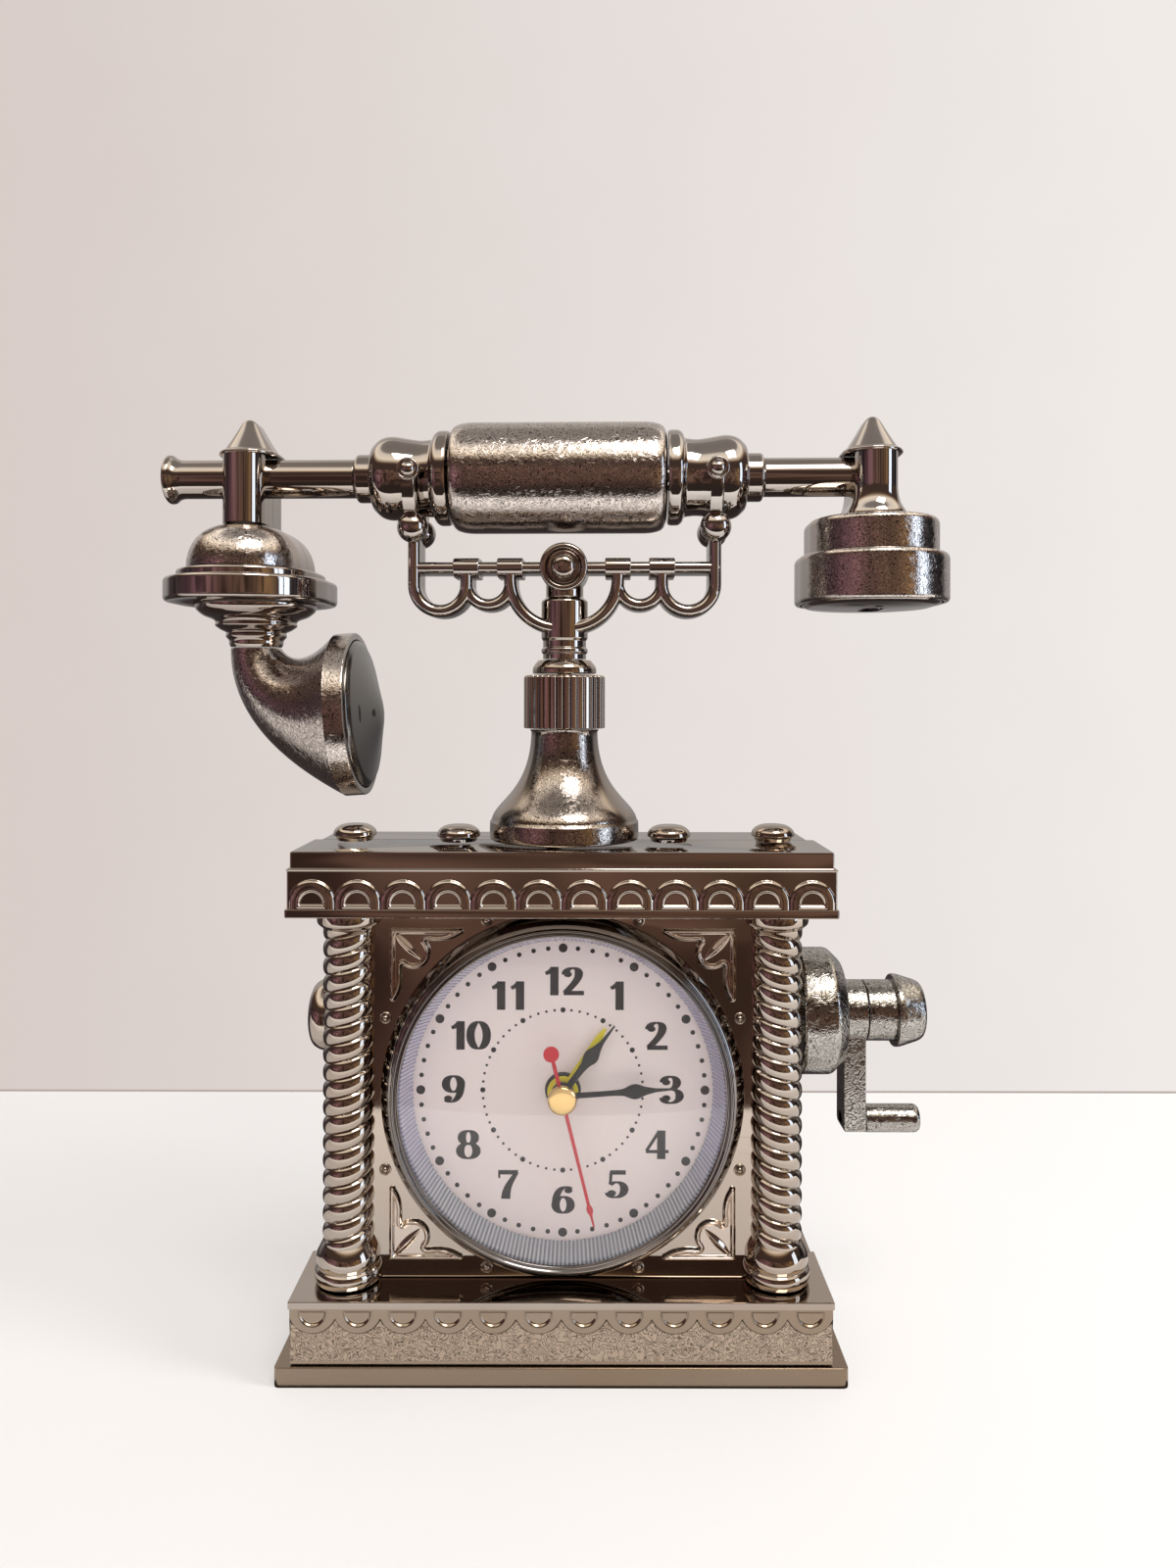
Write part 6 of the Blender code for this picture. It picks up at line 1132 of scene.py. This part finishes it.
outlet = closing[(closing[:, 1] < 175.5) & (closing[:, 0] < 15.0)]
marks = [marked(outlet, spot, half, lambda points: swivelled(points + (0.0, -3.0, 0.0) + RIGHT))
         for spot, half in (((0.0, -6.5), (1.0, 1.0)), ((-5.5, -7.5), (2.4, 0.35)), ((0.0, 0.0), (1.0, 1.0)))]
made("receiver_marks", marks, BLACK, "handset", edge=60.0, slot="black_plastic")

# Side boss and crank
boss = rounded([(0.0, 49.4, 0), (3.0, 49.4, 0), (3.0, 52.3, 0), (5.6, 52.3, 0), (5.6, 55.8, 0),
                (8.3, 55.8, 0.2), (8.5, 56.2, 0.3), (8.5, 58.0, 0.9), (7.4, 60.1, 1.0), (5.3, 60.9, 0.6),
                (0.0, 60.9, 0)], 7)
dressed("side_boss", [net(along_x(spun(boss * (1, -1), 80), SIDE_AXIS))], BRIGHT, "case")
hub = rounded([(2.0, 49.4, 0), (3.0, 49.4, 0), (3.0, 52.3, 0), (7.0, 52.3, 0), (7.0, 55.8, 0),
               (14.3, 55.8, 0.3), (14.9, 56.5, 0.4), (14.9, 63.7, 0.9), (11.8, 66.8, 0.9), (2.0, 66.8, 0)], 7)
dressed("crank_hub", [net(along_x(turned(hub, 112), CRANK_AXIS), along=True)], CRANK_SKIN, "case")
tail = rounded([(-4.15, -5.9, 0), (-4.15, -28.3, 0.7), (4.15, -28.3, 0.7), (4.15, -5.9, 0)], 6)
outline = np.vstack([arc((0.0, 0.0), 7.2, -54.8, 234.8, 44), tail])
inset, depth = np.array([(0.4, 67.1), (0.12, 67.2), (0.0, 67.5), (0.0, 72.15), (0.05, 72.27), (0.15, 72.3)]).T
centre = np.array([0.0, -6.0])
flat = centre + (outline[None] - centre) * (1 - inset[:, None, None] / 9.0)
arm = np.stack([depth[:, None] + 0 * flat[..., 0], flat[..., 0] + CRANK_AXIS[1],
                flat[..., 1] + CRANK_AXIS[2]], -1)
dressed("crank_arm", [net(capped(arm))], CRANK_SKIN, "crank")
shaft = rounded([(0.0, 52.3, 0), (1.7, 52.3, 0), (1.7, 72.6, 0), (7.1, 72.6, 0.1), (7.2, 72.75, 0.1),
                 (7.2, 79.2, 0.3), (7.0, 79.4, 0.1), (8.45, 79.4, 0.1), (8.6, 79.6, 0.1), (8.6, 80.6, 0.5),
                 (7.1, 85.4, 1.0), (6.2, 86.4, 0.7), (0.0, 86.4, 0)], 7)
dressed("crank_shaft", [net(along_x(spun(shaft, 96), CRANK_AXIS))], CRANK_SKIN, "crank")
peg = rounded([(0.0, 67.1, 0), (1.7, 67.1, 0), (1.7, 72.6, 0), (3.0, 72.6, 0.2), (3.3, 73.0, 0.3),
               (3.3, 85.0, 0.5), (2.7, 85.8, 0.3), (0.0, 85.8, 0)], 7)
dressed("crank_peg", [net(along_x(spun(peg, 72), PEG_AXIS))], CRANK_SKIN, "crank")

# Rear of the movement
ridges = 24
t = round_angles(ridges * 8)
level = rounded([(0.0, 11.95, 0), (4.72, 11.95, 0.1), (4.78, 12.1, 0.1), (4.78, 14.5, 0.3), (4.2, 15.0, 0.3),
                 (3.4, 15.05, 0.2), (3.2, 14.97, 0.1), (0.0, 14.97, 0)], 5)
ribbed = ((level[:, :1] > 4.5) & (level[:, 1:] > 12.0)) * 0.16
r = level[:, :1] + ribbed * (np.clip(1.6 * np.cos(ridges * t), -1.0, 1.0) - 1)
knob = capped(np.stack([r * np.cos(t), level[:, 1:] + 0 * t, r * np.sin(t)], -1))
pointer = relief(np.linspace(-0.35, 0.35, 5), np.linspace(-3.0, 3.0, 9), np.full((9, 5), 15.15), 14.9)
for name, place, body in (("time_knob", TIME_KNOB, "time_setting"),
                          ("alarm_knob", ALARM_KNOB, "alarm_setting")):
    made(name + "_looks", [net(knob + place), net(pointer + place)], DARK_PLASTIC, body, edge=40.0)


def door_face(x, z):
    """Battery door: raised rim, sunk inside it, with two blocks of grip ridges: smooth steps of distances."""
    border = np.minimum(25.4 - np.abs(x), 7.3 - np.abs(z - 42.6))
    grips = 0.5 * step(np.cos(x * math.pi), -0.3, 0.5) * step(3.6 - np.abs(np.abs(x) - 19.0), 0.0, 0.3)
    grips = grips * step(4.6 - np.abs(z - 42.6), 0.0, 0.3)
    return 11.66 + 0.35 * step(border, 0.0, 0.3) - 0.2 * step(border, 1.2, 1.5) + grips


def cover_face(x, z):
    """Movement cover: side ribs, a collar round each knob, crossed screw heads and slats, by smooth steps."""
    border = 27.8 - np.abs(x) + 0 * z
    collars = sum(step(0.45 - np.abs(np.hypot(x - knob[0], z - knob[2]) - 6.0), 0.0, 0.25)
                  for knob in (TIME_KNOB, ALARM_KNOB))
    aside, above = np.abs(x) - 24.2, z - 54.6
    screw = np.hypot(aside, above)
    cross = step(0.3 - np.minimum(np.abs(aside), np.abs(above)), 0.0, 0.15) * step(1.2 - screw, 0.0, 0.1)
    slats = step(np.cos((z - 57.0) * math.pi / 0.9), -0.2, 0.4) * step(5.0 - np.abs(x), 0.0, 0.3)
    slats = slats * step(3.2 - np.abs(z - 57.0), 0.0, 0.3)
    heads = 0.35 * step(1.9 - screw, 0.0, 0.3) - 0.3 * cross
    return 11.63 + 0.4 * step(1.3 - border, 0.0, 0.3) + 0.4 * collars + heads + 0.4 * slats


x, z = np.linspace(-25.4, 25.4, 204), np.linspace(35.3, 49.9, 60)
door = relief(x, z, door_face(x[None], z[:, None]), 11.4)
made("battery_door_looks", [net(door)], DARK_PLASTIC, "door", edge=40.0)
x, z = np.linspace(-27.8, 27.8, 224), np.linspace(50.9, 80.8, 122)
cover = relief(x, z, cover_face(x[None], z[:, None]), 11.5)
made("movement_cover_looks", [net(cover)], DARK_PLASTIC, "case", edge=40.0)

# Finishes of the solids that stay as they are; the bolt and the screws are steel
KEPT = {
    "movement_case": DARK_PLASTIC, "movement_cover": DARK_PLASTIC, "battery_door": DARK_PLASTIC,
    "time_knob": DARK_PLASTIC, "alarm_knob": DARK_PLASTIC, "alarm_switch": PALE_PLASTIC,
    "alarm_wheel": PALE_PLASTIC, "hour_wheel": PALE_PLASTIC, "second_wheel": PALE_PLASTIC,
    "centre_wheel": BRASS, "motion_wheel": BRASS, "battery": WRAP, "coil": COPPER, "buzzer": BRASS,
}
for name, node in nodes.items():
    if not node.hide_render:
        node.data.materials.clear()
        node.data.materials.append(KEPT.get(name, STEEL))


# Table, wall, surroundings and lamps, in metres
def sheet(name, corners, finish):
    """One flat sheet of the stage."""
    mesh = bpy.data.meshes.new(name)
    mesh.from_pydata(corners, [], [(0, 1, 2, 3)])
    mesh.materials.append(finish)
    laid = bpy.data.objects.new(name, mesh)
    bpy.context.scene.collection.objects.link(laid)
    return laid


def table_sheet(name, near, far, left=-2.0, right=2.0):
    """Sheet of the table between two depths and two sides."""
    return sheet(name, [(left, near, 0), (right, near, 0), (right, far, 0), (left, far, 0)], TABLE)


def emission(tree, colour):
    """Shader that glows in one colour."""
    colour = colour if isinstance(colour, bpy.types.NodeSocket) else (*colour, 1.0)
    return join(tree, "ShaderNodeEmission", {"Color": colour}).outputs[0]


def table_paper():
    """White paper with faint texture; the camera sees it lifted, and mirrors see its near part bright."""
    finish, tree, shader = skin("table_paper", (0.93, 0.92, 0.91), 0.0, 0.6)
    broad = noise(tree, place_of(tree), 9.0, 2.0, 0.5)
    tree.links.new(blended(tree, broad, (0.71, 0.70, 0.69), (0.75, 0.74, 0.73)), shader.inputs["Base Color"])
    bumped(tree, shader, noise(tree, place_of(tree), 900.0, 3.0, 0.6), 0.00002)
    path = join(tree, "ShaderNodeLightPath").outputs
    lifted = math_node(tree, "MULTIPLY", path["Is Camera Ray"], 0.38)
    paper = mixed(tree, lifted, shader.outputs[0], emission(tree, (1.0, 0.975, 0.95)))
    near = smooth_step(tree, split(tree, place_of(tree))["Y"], -0.05, -0.17)
    bright = math_node(tree, "MULTIPLY", near, path["Is Glossy Ray"])
    paper = mixed(tree, bright, paper, emission(tree, (1.45, 1.40, 1.36)))
    tree.links.new(paper, tree.nodes["Material Output"].inputs["Surface"])
    return finish


def wall_paper():
    """Wall that glows by itself, paler to the right as painted light from that side, with painted shade in a
    darker line at its foot; clear from behind.
    """
    finish, tree, _ = skin("wall_paper", (0.8, 0.8, 0.8), 0.0, 0.6)
    spot = split(tree, place_of(tree))
    patchy = math_node(tree, "MULTIPLY", noise(tree, place_of(tree), 14.0, 4.0, 0.6), 0.2)
    # Painted light: paler towards the right, the side of the window lamp, with faint patches.
    tone = math_node(tree, "ADD", math_node(tree, "MULTIPLY_ADD", spot["X"], 2.3, 0.40), patchy)
    paper = blended(tree, tone, (.69, .61, .575), (.865, .825, .795))
    # Painted shade: a darker line at the foot, where the wall meets the table.
    paper = blended(tree, smooth_step(tree, spot["Z"], 0.0004, 0.0011), (.46, .38, .35), paper)
    clear = join(tree, "ShaderNodeBsdfTransparent").outputs[0]
    behind = join(tree, "ShaderNodeNewGeometry").outputs["Backfacing"]
    tree.links.new(mixed(tree, behind, emission(tree, paper), clear),
                   tree.nodes["Material Output"].inputs["Surface"])
    return finish


# The table is in sheets round the clock's foot, and mirrors don't show those under it, behind it and far ahead
FOOT_NEAR, FOOT_FAR, FOOT_SIDE = -0.0215, 0.04, 0.066
WALL_AT = 0.168
TABLE = table_paper()
table_sheet("table_near", -0.17, FOOT_NEAR)
table_sheet("table_left", FOOT_NEAR, FOOT_FAR, right=-FOOT_SIDE)
table_sheet("table_right", FOOT_NEAR, FOOT_FAR, left=FOOT_SIDE)
table_sheet("table_under", FOOT_NEAR, FOOT_FAR, -FOOT_SIDE, FOOT_SIDE).visible_glossy = False
table_sheet("table_back", FOOT_FAR, 2.0).visible_glossy = False
wall = sheet("wall", [(-2.0, WALL_AT, 0), (2.0, WALL_AT, 0), (2.0, WALL_AT, 2.5), (-2.0, WALL_AT, 2.5)],
             wall_paper())
wall.visible_glossy = wall.visible_diffuse = wall.visible_shadow = False
table_sheet("table_far", -1.8, -0.17).visible_glossy = False


def ramp(tree, value, stops):
    """Colour ramp with the given stops."""
    added = join(tree, "ShaderNodeValToRGB", {0: value})
    points = added.color_ramp.elements
    while len(points) < len(stops):
        points.new(0.5)
    for point, (place, colour) in zip(points, stops):
        point.position = place
        point.color = (*colour, 1.0)
    return added.outputs[0]


def mirrored_room(tree, way, to):
    """Colours that the plating mirrors: a dim room, a bright band above it, a window pane and the wall."""
    rise = math_node(tree, "MULTIPLY_ADD", to["Z"], 0.5, 0.5)
    turn = math_node(tree, "ARCTAN2", to["X"], math_node(tree, "MULTIPLY", to["Y"], -1.0))
    bearing = math_node(tree, "MULTIPLY_ADD", turn, 0.5 / math.pi, 0.5)
    room = ramp(tree, bearing, [
        (0.0, (.74, .68, .65)), (0.13, (.60, .55, .53)), (0.17, (.10, .085, .09)), (0.30, (.09, .05, .06)),
        (0.37, (.40, .21, .24)), (0.43, (.20, .115, .10)), (0.50, (.22, .13, .10)), (0.57, (.23, .14, .10)),
        (0.62, (.42, .26, .13)), (0.655, (.14, .09, .07)), (0.71, (.07, .06, .065)), (0.82, (.06, .055, .06)),
        (0.86, (.58, .54, .52)), (1.0, (.74, .68, .65))])
    above = ramp(tree, rise, [
        (0.0, (.62, .57, .54)), (0.77, (.30, .18, .11)), (0.80, (.80, .66, .50)), (0.84, (1.6, 1.42, 1.18)),
        (0.92, (1.3, 1.2, 1.08)), (0.95, (.40, .36, .33)), (1.0, (.34, .31, .29))])
    wall = ramp(tree, rise, [
        (0.0, (.04, .03, .03)), (0.38, (.06, .05, .05)), (0.47, (.30, .285, .28)), (0.53, (.40, .385, .375)),
        (0.66, (.66, .61, .58)), (0.8, (.66, .61, .58)), (1.0, (.40, .37, .35))])
    below = (.05, .035, .03)
    dusk = (.095, .062, .050)
    daylight = (2.3, 2.75, 3.4)
    murk = smooth_step(tree, noise(tree, way, 4.5, 2.0, 0.55, 0.6), 0.36, 0.58, 0.30, 1.15)
    near = blended(tree, 1.0, room, murk, "MULTIPLY")
    for first, last, colour in ((0.20, 0.29, dusk), (0.48, 0.58, above), (-0.30, -0.50, below)):
        near = blended(tree, smooth_step(tree, to["Z"], first, last), near, colour)
    apart = math_node(tree, "ABSOLUTE", math_node(tree, "SUBTRACT", bearing, 0.680))
    pane = smooth_step(tree, apart, 0.0015, 0.0025)
    for value, first, last in ((bearing, 0.660, 0.664), (bearing, 0.706, 0.702), (to["Z"], -0.22, -0.18),
                               (to["Z"], 0.46, 0.42)):
        pane = math_node(tree, "MULTIPLY", pane, smooth_step(tree, value, first, last))
    near = blended(tree, pane, near, daylight)
    return blended(tree, smooth_step(tree, to["Y"], 0.35, 0.60), near, wall)


def surroundings():
    """World of four views: the camera's (through the lens too), the mirrors', and two of scattered light."""
    world = bpy.data.worlds.new("surroundings")
    world.use_nodes = True
    tree = world.node_tree
    way = join(tree, "ShaderNodeTexCoord").outputs["Generated"]
    to = split(tree, way)
    # Painted light: what the camera sees beyond the table is paler to the right, like the wall.
    paler = math_node(tree, "MULTIPLY_ADD", to["X"], 1.2, 0.5)
    seen = blended(tree, paler, (.70, .617, .58), (.865, .825, .795))
    path = join(tree, "ShaderNodeLightPath").outputs
    direct = math_node(tree, "MAXIMUM", path["Is Camera Ray"], path["Is Transmission Ray"])
    shown = blended(tree, direct, mirrored_room(tree, way, to), seen)
    in_lens = math_node(tree, "GREATER_THAN", path["Transmission Depth"], 0.5)
    soft = blended(tree, in_lens, (.80, .75, .735), (1.0, .96, .95))
    scattered = math_node(tree, "GREATER_THAN", path["Diffuse Depth"], 0.5)
    light = tree.nodes["Background"]
    tree.links.new(blended(tree, scattered, shown, soft), light.inputs["Color"])
    light.inputs["Strength"].default_value = 1.0
    return world


bpy.context.scene.world = surroundings()


def lamp(name, place, aim, size, power, colour):
    """Rectangular lamp at a place, aimed at a point."""
    data = bpy.data.lights.new(name, "AREA")
    data.shape = "RECTANGLE"
    data.size, data.size_y = size
    data.energy = power
    data.color = colour
    holder = bpy.data.objects.new(name, data)
    bpy.context.scene.collection.objects.link(holder)
    holder.location = place
    way = np.array(aim, float) - np.array(place, float)
    holder.rotation_euler = (math.atan2(math.hypot(way[0], way[1]), -way[2]), 0.0, math.atan2(-way[0], way[1]))
    return holder


lamp("window", (0.95, -0.30, 0.42), (0, 0, 0.05), (0.35, 0.4), 10.5, (0.96, 0.98, 1.0)).visible_glossy = False
lamp("ceiling", (0.25, -0.55, 1.05), (0, 0, 0.08), (0.5, 0.4), 5.0, (1.0, 0.97, 0.93))

view = bpy.data.cameras.new("view")
camera = bpy.data.objects.new("view", view)
bpy.context.scene.collection.objects.link(camera)
camera.location = (0.0057, -0.270, 0.1526)
camera.rotation_euler = (math.pi / 2, math.radians(-0.1), 0.0)
view.sensor_fit = "VERTICAL"
view.sensor_height = 36.0
view.lens = 25.875
view.shift_y = -0.05375
view.clip_start = 0.01
bpy.context.scene.camera = camera
bpy.context.scene.view_settings.view_transform = "Standard"
